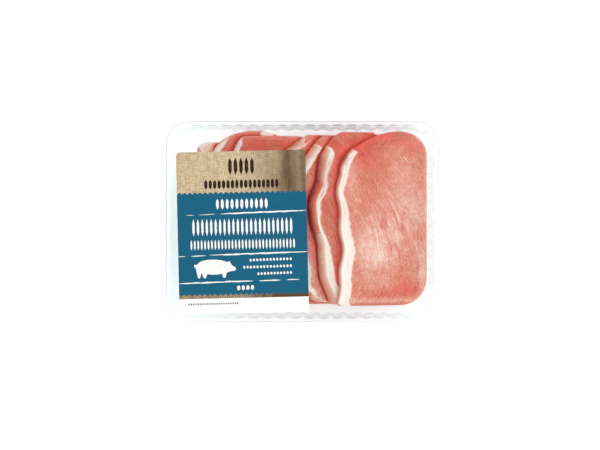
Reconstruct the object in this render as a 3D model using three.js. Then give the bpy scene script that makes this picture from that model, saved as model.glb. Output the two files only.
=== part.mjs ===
// A sealed retail tray of thin boneless pork chops.
//
// A clear, fluted tray with a flat flange carries a clear lid film and a paper
// label. Seven thin chops lie inside like shingles: the lowest is at the left,
// and each next one rests on it and on the tray's floor, further to the right.
// Units are millimetres. The origin is under the middle of the tray, +Z is up,
// X runs along the tray and Y across it.

import * as THREE from "three";
import { mergeVertices } from "three/addons/utils/BufferGeometryUtils.js";

// ---------------------------------------------------------------- dimensions

const GAP = 0.3; // clearance between pieces that touch

// Tray: outside of the flange, then the mouth, the ledge and the wall inside it.
const TRAY_LENGTH = 227;
const TRAY_WIDTH = 178;
const TRAY_HEIGHT = 38;
const SHEET = 0.6; // thickness of the formed plastic
const FLANGE_CORNER = 8;
const LAND_CORNER = 13; // corner of the flange's raised sealing land
const LIP_DROP = 2.4; // the flange's outer edge is turned down this far
const SEAL_SIDE = 1.7; // width of the low outer strip of the flange, short sides
const SEAL_LONG = 5.2; // and long sides
const SEAL_RISE = 0.5; // the sealing land stands this much above that strip
const SEAL_SLOPE = 0.4; // and slopes down to it over this width
const MOUTH_LENGTH = 218.4;
const MOUTH_WIDTH = 160.8;
const MOUTH_CORNER = 19;
const LEDGE_DEPTH = 3.6; // from the sealing land down to the ledge
const LEDGE_WIDTH = 2.8;
const LEDGE_SLOPE = 0.8; // the ledge's short wall leans in this far
const WALL_DRAFT = THREE.MathUtils.degToRad(3);
const FLOOR_FILLET = 3;

// Flutes in the walls: each bulges outward between two upright ridges.
const FLUTES_LONG = 16;
const FLUTES_SHORT = 11;
const FLUTE_TOP = 0.8; // depth of a flute under the ledge
const FLUTE_BOTTOM = 2.0; // and just above the floor
const FLUTE_START = 1; // the flutes start this far under the ledge
const FLUTE_FULLNESS = 0.7; // below 1, a bulge is rounder than a plain wave
const FLUTE_STEPS = 3; // facets across one flute
const CORNER_STEPS = 5; // facets round one corner

// Film and label lie flat on the flange.
const FILM_THICKNESS = 0.2;
const FILM_INSET = 0.4; // the film is cut back this far from the flange's edge
const LABEL_WIDTH = 103.5;
const LABEL_HEIGHT = 129.5;
const LABEL_THICKNESS = 0.2;
const LABEL_CORNER = 3;
const LABEL_CENTRE = [-48, -8.4];
const LABEL_TURN = THREE.MathUtils.degToRad(1.3);

// Chops: every slice has the same cut, and its own place and edge.
const CHOP_THICKNESS = 5.4;
const SEAM = 0.4; // height of the widest outline, as a share of the thickness
const RIM = 2.7; // rounding of the plain edges
const UNDER_RIM = 1.4; // rounding of the underside's edges
const SLICE_GAP = 0.7; // clearance between one slice and the next
const DRAPE = 40; // a slice comes down to the next one over this length
const FAT_TAPER = 7; // the fat rounds off to its upper tip over this length
const TIP_SHARE = 0.3; // and keeps this share of its width there
const FAT_COLUMNS = [0, 0.12, 0.45, 1]; // facets across the fat, as shares of its width
const FAT_STEP = [6, 24]; // Y where the fat is at its full and its lesser width
const STEEPEST = 2; // most that the fat's inner edge leans, in X for each Y
const RIM_FACET = 0.3; // the plain edge's one facet line, as a share of its rounding
const LONG_WAVE = { length: 90, size: 1.7, crest: -25, follow: 1 };
const SHORT_WAVE = { length: 32, size: 1.0, crest: 9, follow: 2 };
const NO_BEND = { at: 0, reach: 1, shift: 0 };
const SQUARE_CORNER = { across: 4, along: 4, power: 2 };
const RIGHT_TOP_CORNER = { across: 23, along: 19, power: 2 };
const RIGHT_BOTTOM_CORNER = { across: 22, along: 22, power: 2 };
const STEPS_ACROSS = 8; // even facets across the lean, up to its rounded edge
const STEPS_ALONG = 11; // and along it, from its lower corner to the tip of the fat
const END_STEPS = 4; // facets along each end
const PLATE_CORNER_STEPS = 3; // facets round half a corner of the film and the label

// left: X of the fat edge at mid length; width: from there to the plain edge;
// top, bottom: Y of the two ends; bow: how far the ends curve to the right;
// wave: Y shift of the edge's waves; corner: the sloping corner where the fat
// ends; foot: the corner at its other end; roll: width of the rounded fat edge;
// fat: width of the fat above and below; tip: Y where the fat ends; bend: where
// the edge turns in once more, over what reach along Y and how far.
const CHOPS = [
  { left: 29.2, width: 74, top: 74.2, bottom: -68.6, bow: 0, wave: 0,
    corner: { across: 46, along: 31, power: 1.6 }, foot: SQUARE_CORNER,
    roll: 3.4, fat: [6.8, 10.2], tip: 58 },
  { left: 6.0, width: 75, top: 73.4, bottom: -67.6, bow: 15, wave: 20,
    corner: { across: 14, along: 22, power: 2 }, foot: SQUARE_CORNER,
    roll: 7.4, fat: [9.8, 10.4], tip: 61, bend: { at: -16, reach: 11, shift: 5.7 } },
  { left: -9.0, width: 75, top: 71.0, bottom: -66.0, bow: 10, wave: 8,
    corner: { across: 20, along: 34, power: 1.8 }, foot: { across: 14, along: 15, power: 2 },
    roll: 8.0, fat: [9.2, 9.8], tip: 63 },
  { left: -29.0, width: 76, top: 71.4, bottom: -67.8, bow: 6, wave: -12,
    corner: { across: 26, along: 30, power: 1.3 }, foot: SQUARE_CORNER,
    roll: 6.0, fat: [8.4, 9.4], tip: 69 },
  { left: -64.4, width: 82, top: 70.4, bottom: -66.0, bow: 3, wave: 24,
    corner: { across: 16, along: 24, power: 1.5 }, foot: SQUARE_CORNER,
    roll: 4.6, fat: [5.2, 8.6], tip: 68 },
  { left: -83.2, width: 72, top: 75.0, bottom: -64.8, bow: 4, wave: -5,
    corner: { across: 38, along: 42, power: 2.3 }, foot: SQUARE_CORNER,
    roll: 6.6, fat: [6.8, 9.2], tip: 70 },
  { left: -90.0, width: 68, top: 66.0, bottom: -63.4, bow: 2, wave: 13,
    corner: { across: 9, along: 8, power: 2 }, foot: SQUARE_CORNER,
    roll: 7.6, fat: [8.8, 9.6], tip: 62 },
];

// ----------------------------------------------------------------- materials

const materials = {
  tray: new THREE.MeshStandardMaterial({
    color: 0xeef1f3, roughness: 0.08, transparent: true, opacity: 0.3 }),
  film: new THREE.MeshStandardMaterial({
    color: 0xf6f8fa, roughness: 0.04, transparent: true, opacity: 0.15 }),
  label: new THREE.MeshStandardMaterial({ color: 0x1d6582, roughness: 0.6 }),
  lean: new THREE.MeshStandardMaterial({ color: 0xe0917f, roughness: 0.35 }),
  fat: new THREE.MeshStandardMaterial({ color: 0xf7ebdf, roughness: 0.4 }),
};

// ------------------------------------------------------------ shared helpers

// Points and triangles of a closed surface become one three.js geometry. Where
// two points meet they are joined, and a triangle that closes up there is left out.
function surface(points, triangles) {
  const loose = new THREE.BufferGeometry();
  loose.setAttribute("position", new THREE.Float32BufferAttribute(points.flat(), 3));
  loose.setIndex(triangles.flat());
  const joined = mergeVertices(loose, 1e-4);
  const index = [];
  for (let i = 0; i < joined.index.count; i += 3) {
    const [a, b, c] = [0, 1, 2].map((k) => joined.index.getX(i + k));
    if (a !== b && b !== c && c !== a) {
      index.push(a, b, c);
    }
  }
  joined.setIndex(index);
  return joined;
}

function named(name, geometry, material) {
  const mesh = new THREE.Mesh(geometry, material);
  mesh.name = name;
  return mesh;
}

function roundedRectangle(width, height, radius) {
  const x = width / 2;
  const y = height / 2;
  const shape = new THREE.Shape();
  shape.moveTo(x, radius - y);
  shape.absarc(x - radius, y - radius, radius, 0, Math.PI / 2);
  shape.absarc(radius - x, y - radius, radius, Math.PI / 2, Math.PI);
  shape.absarc(radius - x, radius - y, radius, Math.PI, 1.5 * Math.PI);
  shape.absarc(x - radius, radius - y, radius, 1.5 * Math.PI, 2 * Math.PI);
  return shape;
}

function plate(shape, thickness) {
  return new THREE.ExtrudeGeometry(shape, {
    depth: thickness, bevelEnabled: false, curveSegments: PLATE_CORNER_STEPS });
}

// ---------------------------------------------------------------------- tray

// Outward bulge of a flute, from 0 at its ridges to 1 in its middle.
function fluteBulge(along) {
  return Math.pow(0.5 - 0.5 * Math.cos(2 * Math.PI * along), FLUTE_FULLNESS);
}

// One horizontal ring of the tray: four straight sides and four corners, run
// anticlockwise from the right side. A fluted ring has many points on a side.
function trayRing({ x, y, corner, z, flute = 0 }) {
  const ring = [];
  for (let quarter = 0; quarter < 4; quarter++) {
    const angle = (quarter * Math.PI) / 2;
    const out = new THREE.Vector2(Math.cos(angle), Math.sin(angle)).round();
    const onward = new THREE.Vector2(-out.y, out.x);
    const shortSide = quarter % 2 === 0;
    const reach = shortSide ? x : y;
    const half = (shortSide ? y : x) - corner;
    const flutes = shortSide ? FLUTES_SHORT : FLUTES_LONG;
    const steps = flute > 0 ? flutes * FLUTE_STEPS : 1;
    for (let i = 0; i < steps; i++) {
      const share = i / steps;
      const bulge = flute * fluteBulge((share * flutes) % 1);
      const point = out.clone().multiplyScalar(reach + bulge);
      point.addScaledVector(onward, half * (2 * share - 1));
      ring.push({ at: 2 * quarter + share, point: [point.x, point.y, z] });
    }
    const middle = out.clone().multiplyScalar(reach - corner).addScaledVector(onward, half);
    for (let i = 0; i < CORNER_STEPS; i++) {
      const turn = angle + ((Math.PI / 2) * i) / CORNER_STEPS;
      const point = [middle.x + corner * Math.cos(turn), middle.y + corner * Math.sin(turn), z];
      ring.push({ at: 2 * quarter + 1 + i / CORNER_STEPS, point });
    }
  }
  return ring;
}

// Skin between two rings with any number of points: walk round both at once.
function stitch(inner, outer, triangles) {
  const after = (ring, i) => (i + 1 < ring.length ? ring[i + 1].at : 8);
  let i = 0;
  let j = 0;
  while (i < inner.length || j < outer.length) {
    const a = inner[i % inner.length].index;
    const b = outer[j % outer.length].index;
    const stepOuter = j < outer.length
      && (i >= inner.length || inner.length === 1 || after(outer, j) <= after(inner, i));
    if (stepOuter) {
      triangles.push([a, b, outer[(j + 1) % outer.length].index]);
      j++;
    } else {
      if (inner.length > 1) {
        triangles.push([a, b, inner[(i + 1) % inner.length].index]);
      }
      i++;
    }
  }
}

// Level of the inner wall at height z: its half sizes and corner radius.
function wallAt(z) {
  const top = TRAY_HEIGHT - LEDGE_DEPTH;
  const inward = LEDGE_SLOPE + LEDGE_WIDTH + (top - z) * Math.tan(WALL_DRAFT);
  return {
    x: MOUTH_LENGTH / 2 - inward,
    y: MOUTH_WIDTH / 2 - inward,
    corner: MOUTH_CORNER - inward,
    z,
  };
}

// The same level, moved outward by the thickness of the sheet or by more.
function grown(level, by, z = level.z) {
  return { ...level, x: level.x + by, y: level.y + by, corner: level.corner + by, z };
}

function makeTray() {
  const mouth = {
    x: MOUTH_LENGTH / 2, y: MOUTH_WIDTH / 2, corner: MOUTH_CORNER, z: TRAY_HEIGHT };
  const edge = {
    x: TRAY_LENGTH / 2, y: TRAY_WIDTH / 2, corner: FLANGE_CORNER, z: TRAY_HEIGHT - SEAL_RISE };
  const land = {
    x: edge.x - SEAL_SIDE, y: edge.y - SEAL_LONG, corner: LAND_CORNER, z: TRAY_HEIGHT };
  const ledgeZ = TRAY_HEIGHT - LEDGE_DEPTH;
  const ledgeOuter = grown(mouth, -LEDGE_SLOPE, ledgeZ);
  const wallTop = wallAt(ledgeZ);
  const fluteTop = { ...grown(wallTop, 0, ledgeZ - FLUTE_START), flute: FLUTE_TOP };
  const wallFoot = { ...wallAt(SHEET + FLOOR_FILLET), flute: FLUTE_BOTTOM };
  const bend = FLOOR_FILLET * (1 - Math.SQRT1_2);
  const wallBend = grown({ ...wallAt(SHEET + bend), flute: FLUTE_BOTTOM / 2 }, -bend);
  const floorEdge = grown(wallAt(SHEET), -FLOOR_FILLET);

  const levels = [
    floorEdge,
    wallBend,
    wallFoot,
    fluteTop,
    wallTop,
    ledgeOuter,
    mouth,
    land,
    grown(land, SEAL_SLOPE, edge.z),
    edge,
    grown(edge, 0, TRAY_HEIGHT - LIP_DROP),
    grown(edge, -SHEET, TRAY_HEIGHT - LIP_DROP),
    grown(edge, -SHEET, edge.z - SHEET),
    grown(mouth, SHEET, edge.z - SHEET),
    grown(ledgeOuter, SHEET, ledgeZ - SHEET),
    grown(wallTop, SHEET, ledgeZ - SHEET),
    grown(fluteTop, SHEET, fluteTop.z - SHEET),
    grown(wallFoot, SHEET, SHEET + FLOOR_FILLET),
    grown(wallBend, SHEET * Math.SQRT1_2, wallBend.z - SHEET * Math.SQRT1_2),
    grown(floorEdge, 0, 0),
  ];
  const rings = [[{ at: 0, point: [0, 0, SHEET] }]];
  rings.push(...levels.map(trayRing));
  rings.push([{ at: 0, point: [0, 0, 0] }]);

  const points = [];
  for (const ring of rings) {
    for (const corner of ring) {
      corner.index = points.length;
      points.push(corner.point);
    }
  }
  const triangles = [];
  for (let i = 0; i + 1 < rings.length - 1; i++) {
    stitch(rings[i], rings[i + 1], triangles);
  }
  const underside = rings[rings.length - 2];
  const centre = rings[rings.length - 1][0].index;
  underside.forEach((corner, i) => {
    triangles.push([corner.index, centre, underside[(i + 1) % underside.length].index]);
  });
  return named("tray", surface(points, triangles), materials.tray);
}

// ------------------------------------------------------------ film and label

function makeFilm() {
  const size = 2 * FILM_INSET;
  const outline = roundedRectangle(TRAY_LENGTH - size, TRAY_WIDTH - size, FLANGE_CORNER);
  const film = named("lid_film", plate(outline, FILM_THICKNESS), materials.film);
  film.position.z = TRAY_HEIGHT + GAP;
  return film;
}

function makeLabel() {
  const outline = roundedRectangle(LABEL_WIDTH, LABEL_HEIGHT, LABEL_CORNER);
  const label = named("label", plate(outline, LABEL_THICKNESS), materials.label);
  label.position.set(...LABEL_CENTRE, TRAY_HEIGHT + FILM_THICKNESS + 2 * GAP);
  label.rotation.z = LABEL_TURN;
  return label;
}

// --------------------------------------------------------------------- chops

// How far a corner cuts in at a given distance before the slice's end.
function cornerInset({ across, along, power }, fromEnd) {
  if (fromEnd >= along) {
    return 0;
  }
  const share = Math.min(1, 1 - fromEnd / along);
  return across * (1 - Math.pow(1 - Math.pow(share, power), 1 / power));
}

// Two waves run along the fat edge, and each slice shifts them its own way. A
// slice may have one more bend.
function edgeWave(chop, y) {
  const wave = ({ length, size, crest, follow }) => (
    size * Math.cos((2 * Math.PI * (y - crest + follow * chop.wave)) / length));
  const { at, reach, shift } = chop.bend ?? NO_BEND;
  return wave(LONG_WAVE) + wave(SHORT_WAVE) + shift * Math.exp(-Math.pow((y - at) / reach, 2));
}

// The curved fat edge, without its corners, and the two true edges at y.
function fatLine(chop, y) {
  const half = (chop.top - chop.bottom) / 2;
  const middle = (chop.top + chop.bottom) / 2;
  return chop.left + chop.bow * Math.pow((y - middle) / half, 2) + edgeWave(chop, y);
}

function leftEdge(chop, y) {
  return fatLine(chop, y)
    + cornerInset(chop.corner, chop.top - y) + cornerInset(chop.foot, y - chop.bottom);
}

function rightEdge(chop, y) {
  return chop.left + chop.width
    - cornerInset(RIGHT_TOP_CORNER, chop.top - y)
    - cornerInset(RIGHT_BOTTOM_CORNER, y - chop.bottom);
}

// Height of the underside of a slice at x: each slice below it lifts it by its
// own thickness, and past that slice's right edge it comes down again.
function underside(index, x) {
  let height = SHEET + GAP;
  for (const below of CHOPS.slice(index + 1)) {
    const past = THREE.MathUtils.clamp((x - below.left - below.width) / DRAPE, 0, 1);
    height += (CHOP_THICKNESS + SLICE_GAP) * (0.5 + 0.5 * Math.cos(Math.PI * past));
  }
  return height;
}

// Quarter round: 0 at the edge, 1 from the radius inward.
function quarterRound(distance, radius) {
  const short = THREE.MathUtils.clamp(1 - distance / radius, 0, 1);
  return Math.sqrt(1 - short * short);
}

// Width of the fat at y: full below, less above, rounding off to its upper tip.
function fatWidth(chop, y) {
  const [above, below] = chop.fat;
  const width = below + (above - below) * THREE.MathUtils.smoothstep(y, ...FAT_STEP);
  const left = THREE.MathUtils.clamp((chop.tip - y) / FAT_TAPER, 0, 1);
  return width * (TIP_SHARE + (1 - TIP_SHARE) * Math.sqrt(left));
}

// Where the fat ends and, a clearance further on, the lean starts.
function fatBoundary(chop, y) {
  return leftEdge(chop, y) + fatWidth(chop, y);
}

function leanStart(chop, y) {
  const run = fatBoundary(chop, y) - fatBoundary(chop, y - 1);
  return fatBoundary(chop, y) + GAP * Math.hypot(1, THREE.MathUtils.clamp(run, -STEEPEST, STEEPEST));
}

// Places along a slice, in two runs: the first as far as the fat goes, and the
// second above its tip. Steps shrink towards each end, where the corners turn.
function placesAlong(chop) {
  const low = chop.bottom + RIGHT_BOTTOM_CORNER.along;
  const over = chop.tip + 2 * GAP;
  const shrinking = (i) => Math.sin((Math.PI / 2) * (i / END_STEPS));
  const besideFat = [];
  for (let i = END_STEPS; i > 0; i--) {
    besideFat.push(low - RIGHT_BOTTOM_CORNER.along * shrinking(i));
  }
  for (let i = 0; i <= STEPS_ALONG; i++) {
    besideFat.push(low + ((chop.tip - low) * i) / STEPS_ALONG);
  }
  const aboveFat = [];
  for (let i = 0; i <= END_STEPS; i++) {
    aboveFat.push(over + (chop.top - over) * shrinking(i));
  }
  return { besideFat, aboveFat };
}

// The upper and lower sheet of a slice at one point of its outline or inside it.
function sheets(chop, index, x, y) {
  const left = leftEdge(chop, y);
  const right = rightEdge(chop, y);
  const ends = Math.min(y - chop.bottom, chop.top - y);
  const over = quarterRound(x - left, chop.roll) * quarterRound(right - x, RIM)
    * quarterRound(ends, RIM);
  const under = quarterRound(Math.min(x - left, right - x, ends), UNDER_RIM);
  const base = underside(index, x);
  const seam = SEAM * CHOP_THICKNESS;
  return {
    upper: [x, y, base + seam + (CHOP_THICKNESS - seam) * over],
    lower: [x, y, base + seam * (1 - under)],
  };
}

// A closed piece of a slice. Each row has a y and as many places across as the
// others. The sides go straight from the upper sheet to the lower one.
function loft(chop, index, rows) {
  const columns = rows[0].across.length;
  const grid = rows.flatMap(({ y, across }) => across.map((x) => sheets(chop, index, x, y)));
  const lower = grid.length;
  const triangles = [];
  const at = (row, column) => row * columns + column;
  for (let row = 0; row + 1 < rows.length; row++) {
    for (let column = 0; column + 1 < columns; column++) {
      const [a, b] = [at(row, column), at(row, column + 1)];
      const [c, d] = [at(row + 1, column + 1), at(row + 1, column)];
      triangles.push([a, b, c], [a, c, d]);
      triangles.push([a + lower, c + lower, b + lower], [a + lower, d + lower, c + lower]);
    }
  }
  const side = (a, b) => {
    triangles.push([a + lower, b + lower, b], [a + lower, b, a]);
  };
  for (let column = 0; column + 1 < columns; column++) {
    side(at(0, column), at(0, column + 1));
    side(at(rows.length - 1, column + 1), at(rows.length - 1, column));
  }
  for (let row = 0; row + 1 < rows.length; row++) {
    side(at(row, columns - 1), at(row + 1, columns - 1));
    side(at(row + 1, 0), at(row, 0));
  }
  const points = [...grid.map((point) => point.upper), ...grid.map((point) => point.lower)];
  return surface(points, triangles);
}

function makeChop(chop, index) {
  const { besideFat, aboveFat } = placesAlong(chop);
  const fatRow = (y) => {
    const left = leftEdge(chop, y);
    return { y, across: FAT_COLUMNS.map((share) => left + share * fatWidth(chop, y)) };
  };
  const leanRow = (y, start) => {
    const right = rightEdge(chop, y);
    const across = [];
    for (let i = 0; i <= STEPS_ACROSS; i++) {
      across.push(start + ((right - RIM - start) * i) / STEPS_ACROSS);
    }
    across.push(right - RIM_FACET * RIM, right);
    return { y, across };
  };
  const leanRows = [
    ...besideFat.map((y) => leanRow(y, leanStart(chop, y))),
    leanRow(chop.tip + GAP, leanStart(chop, chop.tip)),
    ...aboveFat.map((y) => leanRow(y, leftEdge(chop, y))),
  ];
  const name = `chop_${index + 1}`;
  return [
    named(`${name}_lean`, loft(chop, index, leanRows), materials.lean),
    named(`${name}_fat`, loft(chop, index, besideFat.map(fatRow)), materials.fat),
  ];
}

// --------------------------------------------------------------- whole object

const pack = new THREE.Group();
pack.add(makeTray(), makeFilm(), makeLabel());
CHOPS.forEach((chop, index) => {
  pack.add(...makeChop(chop, index));
});

export default pack;
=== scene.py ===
# %% [markdown]
# # A sealed tray of thin pork chops
#
# This lesson dresses a finished CAD model: a clear fluted tray, a lid film, a
# printed label and seven thin slices of raw pork laid like shingles. The CAD
# model holds every size. Here each part gets its fine surface and its finish.
# We start by loading that model.

# %% Load the CAD model
import math

import bmesh
import bpy
import numpy as np
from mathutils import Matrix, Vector, noise


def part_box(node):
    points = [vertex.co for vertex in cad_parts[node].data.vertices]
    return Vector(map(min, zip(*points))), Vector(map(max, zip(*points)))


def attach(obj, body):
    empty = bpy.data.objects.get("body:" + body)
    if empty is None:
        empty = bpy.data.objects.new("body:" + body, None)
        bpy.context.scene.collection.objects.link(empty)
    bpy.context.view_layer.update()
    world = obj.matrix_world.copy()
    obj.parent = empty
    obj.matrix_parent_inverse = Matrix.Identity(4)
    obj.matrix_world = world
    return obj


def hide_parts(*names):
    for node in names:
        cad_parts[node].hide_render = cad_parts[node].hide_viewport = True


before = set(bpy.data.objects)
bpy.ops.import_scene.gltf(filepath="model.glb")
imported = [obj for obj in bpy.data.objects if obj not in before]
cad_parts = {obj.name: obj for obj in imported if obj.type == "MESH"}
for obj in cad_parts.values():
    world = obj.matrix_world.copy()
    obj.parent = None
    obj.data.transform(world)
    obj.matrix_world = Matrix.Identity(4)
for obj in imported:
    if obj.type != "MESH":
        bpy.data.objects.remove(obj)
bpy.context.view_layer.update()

MM = 0.001  # one millimetre, in Blender's metres
BODY = "root"  # nothing in this pack moves, so it is one body

# %% [markdown]
# ## The room
#
# Clear plastic shows only what it mirrors, so the room matters as much as the
# material. A wide pale floor and an even white world keep the plastic light. One
# large soft lamp stands to the right and a little behind. It comes in low enough
# to leave a shadow at the left of every slice, where one lies over the next.

# %% World and lamp
WORLD_LIGHT = 1.0
KEY_PLACE = Vector((0.95, 0.40, 0.85))
KEY_SIZE = 0.7
KEY_POWER = 4.5
CLEAR_SHEETS = 24  # the most clear sheets that light crosses


def link(thing):
    bpy.context.scene.collection.objects.link(thing)
    return thing


world = bpy.data.worlds.new("pale room")
world.use_nodes = True
background = world.node_tree.nodes["Background"].inputs
background["Color"].default_value = (1, 1, 1, 1)
background["Strength"].default_value = WORLD_LIGHT
key = bpy.data.lights.new("key", "AREA")
key.size = KEY_SIZE
key.energy = KEY_POWER
stand = link(bpy.data.objects.new("key", key))
stand.location = KEY_PLACE
stand.rotation_euler = (-KEY_PLACE).to_track_quat("-Z", "Y").to_euler()
bpy.context.scene.world = world
bpy.context.scene.view_settings.view_transform = "Standard"
bpy.context.scene.cycles.transparent_max_bounces = CLEAR_SHEETS
print("one lamp and a white world of strength", WORLD_LIGHT)

# %% [markdown]
# ## The camera
#
# The pack is looked at from straight above. What a lens sees across is its
# distance times the sensor's width over the focal length, so the distance
# follows from the width that we want to see at the height of the lid.

# %% Camera
VIEW_WIDTH = 0.48  # what the picture spans at the height of the flange
LENS = 70.0
SENSOR = 36.0
AIM = Vector((-2.0 * MM, -2.8 * MM))  # the middle of the picture on the pack
FLANGE_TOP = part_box("tray")[1].z

eye = bpy.data.cameras.new("overhead")
eye.lens = LENS
eye.sensor_width = SENSOR
camera = link(bpy.data.objects.new("overhead", eye))
camera.location = (AIM.x, AIM.y, FLANGE_TOP + VIEW_WIDTH * LENS / SENSOR)
bpy.context.scene.camera = camera
print("the camera hangs", round(camera.location.z, 3), "m above the floor")

# %% [markdown]
# ## Small tools for shaders
#
# A material is a graph of nodes. Written out by hand, such a graph takes four
# lines a node. The first helper makes a node, sets its options and wires its
# inputs in one call: an input that is another node's socket becomes a link, and
# anything else becomes the socket's own value. The others stand on it.

# %% Nodes, materials and colours


def node(tree, kind, inputs=(), **options):
    made = tree.nodes.new(kind)
    for option, value in options.items():
        setattr(made, option, value)
    for socket, value in dict(inputs).items():
        if isinstance(value, bpy.types.NodeSocket):
            tree.links.new(value, made.inputs[socket])
        else:
            made.inputs[socket].default_value = value
    return made


def new_material(name):
    """An empty material and its tree."""
    material = bpy.data.materials.new(name)
    material.use_nodes = True
    material.node_tree.nodes.clear()
    return material, material.node_tree


def surface(tree, shader):
    """Ends a material's tree with its shader."""
    node(tree, "ShaderNodeOutputMaterial", {"Surface": shader.outputs[0]})


def painted(tree, sockets):
    """Ends a material's tree with the Principled shader, given its sockets by name."""
    surface(tree, node(tree, "ShaderNodeBsdfPrincipled", sockets))


def srgb(red, green, blue):
    """A colour of 0 to 255, taken off the curve that screens use, for a shader's socket."""
    def linear(value):
        share = value / 255
        return share / 12.92 if share <= 0.04045 else ((share + 0.055) / 1.055) ** 2.4
    return (linear(red), linear(green), linear(blue), 1.0)


def mixed(tree, share, first, second):
    """A colour between two others. The three may be values or sockets."""
    return node(tree, "ShaderNodeMix", {0: share, 6: first, 7: second}, data_type="RGBA").outputs[2]


print("a mid grey of 128 reaches a shader as", round(srgb(128, 128, 128)[0], 3))

# %% [markdown]
# Patterns come from numbers rather than colours: noise, stored marks and places,
# which are added, multiplied and mapped from one range onto another. A short
# helper for each keeps a long sum on one line.

# %% Numbers and noise
NOISE_SPAN = (0.3, 0.7)  # noise hardly ever leaves this span


def math_node(tree, operation, *values, clamp=False):
    return node(tree, "ShaderNodeMath", dict(enumerate(values)),
                operation=operation, use_clamp=clamp).outputs[0]


def chained(tree, operation, first, *others):
    for value in others:
        first = math_node(tree, operation, first, value)
    return first


def total(tree, *values):
    return chained(tree, "ADD", *values)


def product(tree, *values):
    return chained(tree, "MULTIPLY", *values)


def ranged(tree, value, low, high, to_low=0.0, to_high=1.0):
    """Maps low..high onto to_low..to_high, and stops at both ends."""
    return node(tree, "ShaderNodeMapRange",
                {"Value": value, "From Min": low, "From Max": high,
                 "To Min": to_low, "To Max": to_high}).outputs[0]


def speckle(tree, size, place, detail=2.0, stretch=(1, 1, 1), turn=0.0, rough=0.5):
    """Noise whose lumps are about `size` metres, stretched and turned about Z."""
    lay = node(tree, "ShaderNodeMapping",
               {"Vector": place, "Rotation": (0, 0, turn), "Scale": stretch})
    return node(tree, "ShaderNodeTexNoise",
                {"Vector": lay.outputs[0], "Scale": 1 / size, "Detail": detail,
                 "Roughness": rough}).outputs["Fac"]


def swing(tree, lumps, low, high):
    """Noise, made to swing from `low` to `high`."""
    return ranged(tree, lumps, *NOISE_SPAN, low, high)


def bumped(tree, height, strength, depth):
    return node(tree, "ShaderNodeBump",
                {"Height": height, "Strength": strength, "Distance": depth}).outputs[0]


def object_place(tree):
    return node(tree, "ShaderNodeTexCoord").outputs["Object"]


def attribute(tree, name, output="Fac"):
    """What a mesh stores under a name, point by point."""
    return node(tree, "ShaderNodeAttribute", attribute_name=name).outputs[output]


print("noise is read between", *NOISE_SPAN)

# %% [markdown]
# ## The floor
#
# The floor uses these tools first. It is a plain square. It glows a little, like a
# light table, because clear plastic on it then stays bright from every side.

# %% Floor
FLOOR_SIZE = 6.0
FLOOR_GLOW = 0.38
FLOOR_DROP = 0.1 * MM  # keeps the floor just clear of the tray's underside
FLOOR_COLOURS = (srgb(250, 250, 250), srgb(248, 248, 248))


def new_piece(name, vertices, faces, *materials):
    mesh = bpy.data.meshes.new(name)
    mesh.from_pydata([tuple(v) for v in vertices], [], [tuple(f) for f in faces])
    for material in materials:
        mesh.materials.append(material)
    return link(bpy.data.objects.new(name, mesh))


floor_material, tree = new_material("pale floor")
painted(tree, {
    "Base Color": mixed(tree, speckle(tree, 0.2, object_place(tree)), *FLOOR_COLOURS),
    "Roughness": 0.9,
    "Emission Color": (1, 1, 1, 1),
    "Emission Strength": FLOOR_GLOW})
half = FLOOR_SIZE / 2
corners = [(x * half, y * half, -FLOOR_DROP) for x, y in ((-1, -1), (1, -1), (1, 1), (-1, 1))]
floor = new_piece("floor", corners, [(0, 1, 2, 3)], floor_material)
print("the floor is", FLOOR_SIZE, "m wide")

# %% [markdown]
# ## Clear plastic
#
# The tray and the film are clear, and so thin that light goes straight through.
# A glass shader would bend the light and fill the pack with noise. A transparent
# shader mixed with a glossy one by Fresnel is lighter and shows the same thing:
# clear where we look straight at it, mirroring where we look along it. Seen edge
# on, the wall is a longer way through plastic, so its tint deepens there.
#
# The tint isn't the same all round. It is deepened by place as painted shade and
# painted reflection, for the meat's shade and what the walls mirror: more at their
# foot than above and less at the left, and the rim and the ledge stand out. Lumps
# of haze break it up. A table says where each deepening starts and ends along X,
# Y or Z, and how strong it is at the two, and the shader multiplies what belongs
# together.

# %% Clear plastic
# Painted shade and painted reflection on the clear plastic, set by place.
PAINTED_SHADE_BY_PLACE = {  # axis, from and to in millimetres, and the strength at the two
    "back": ("Y", 70, 77, 0.3, 0.95),
    "front": ("Y", -77, -70, 1.5, 1.0),
    "left": ("X", -75, 5, 0.2, 1.0),
    "right": ("X", 40, 90, 1.0, 0.6),
    "right wall": ("X", 97, 102, 0.0, 0.7),
    "height": ("Z", 0, 30, 1.4, 0.75),
    "rim": ("Z", 35, 36, 0.0, 1.0),
    "rim's back": ("Y", -60, 60, 0.45, 1.5),
    "painted shade at the left": ("X", -75, 5, 0.22, 0.0),
    "above the ledge": ("Z", 33.4, 33.8, 0.0, 1.0),
    "below the rim": ("Z", 34.8, 35, 0.3, 0.0),
    "back ledge": ("Y", 70, 77, 0.0, 1.0),
    "front ledge": ("Y", -77, -70, 0.6, 0.0),
}
HAZE = 4 * MM  # size of the clouds' lumps
MIRROR_TINT = srgb(228, 233, 235)
PLASTIC_IOR = 1.4


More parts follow.
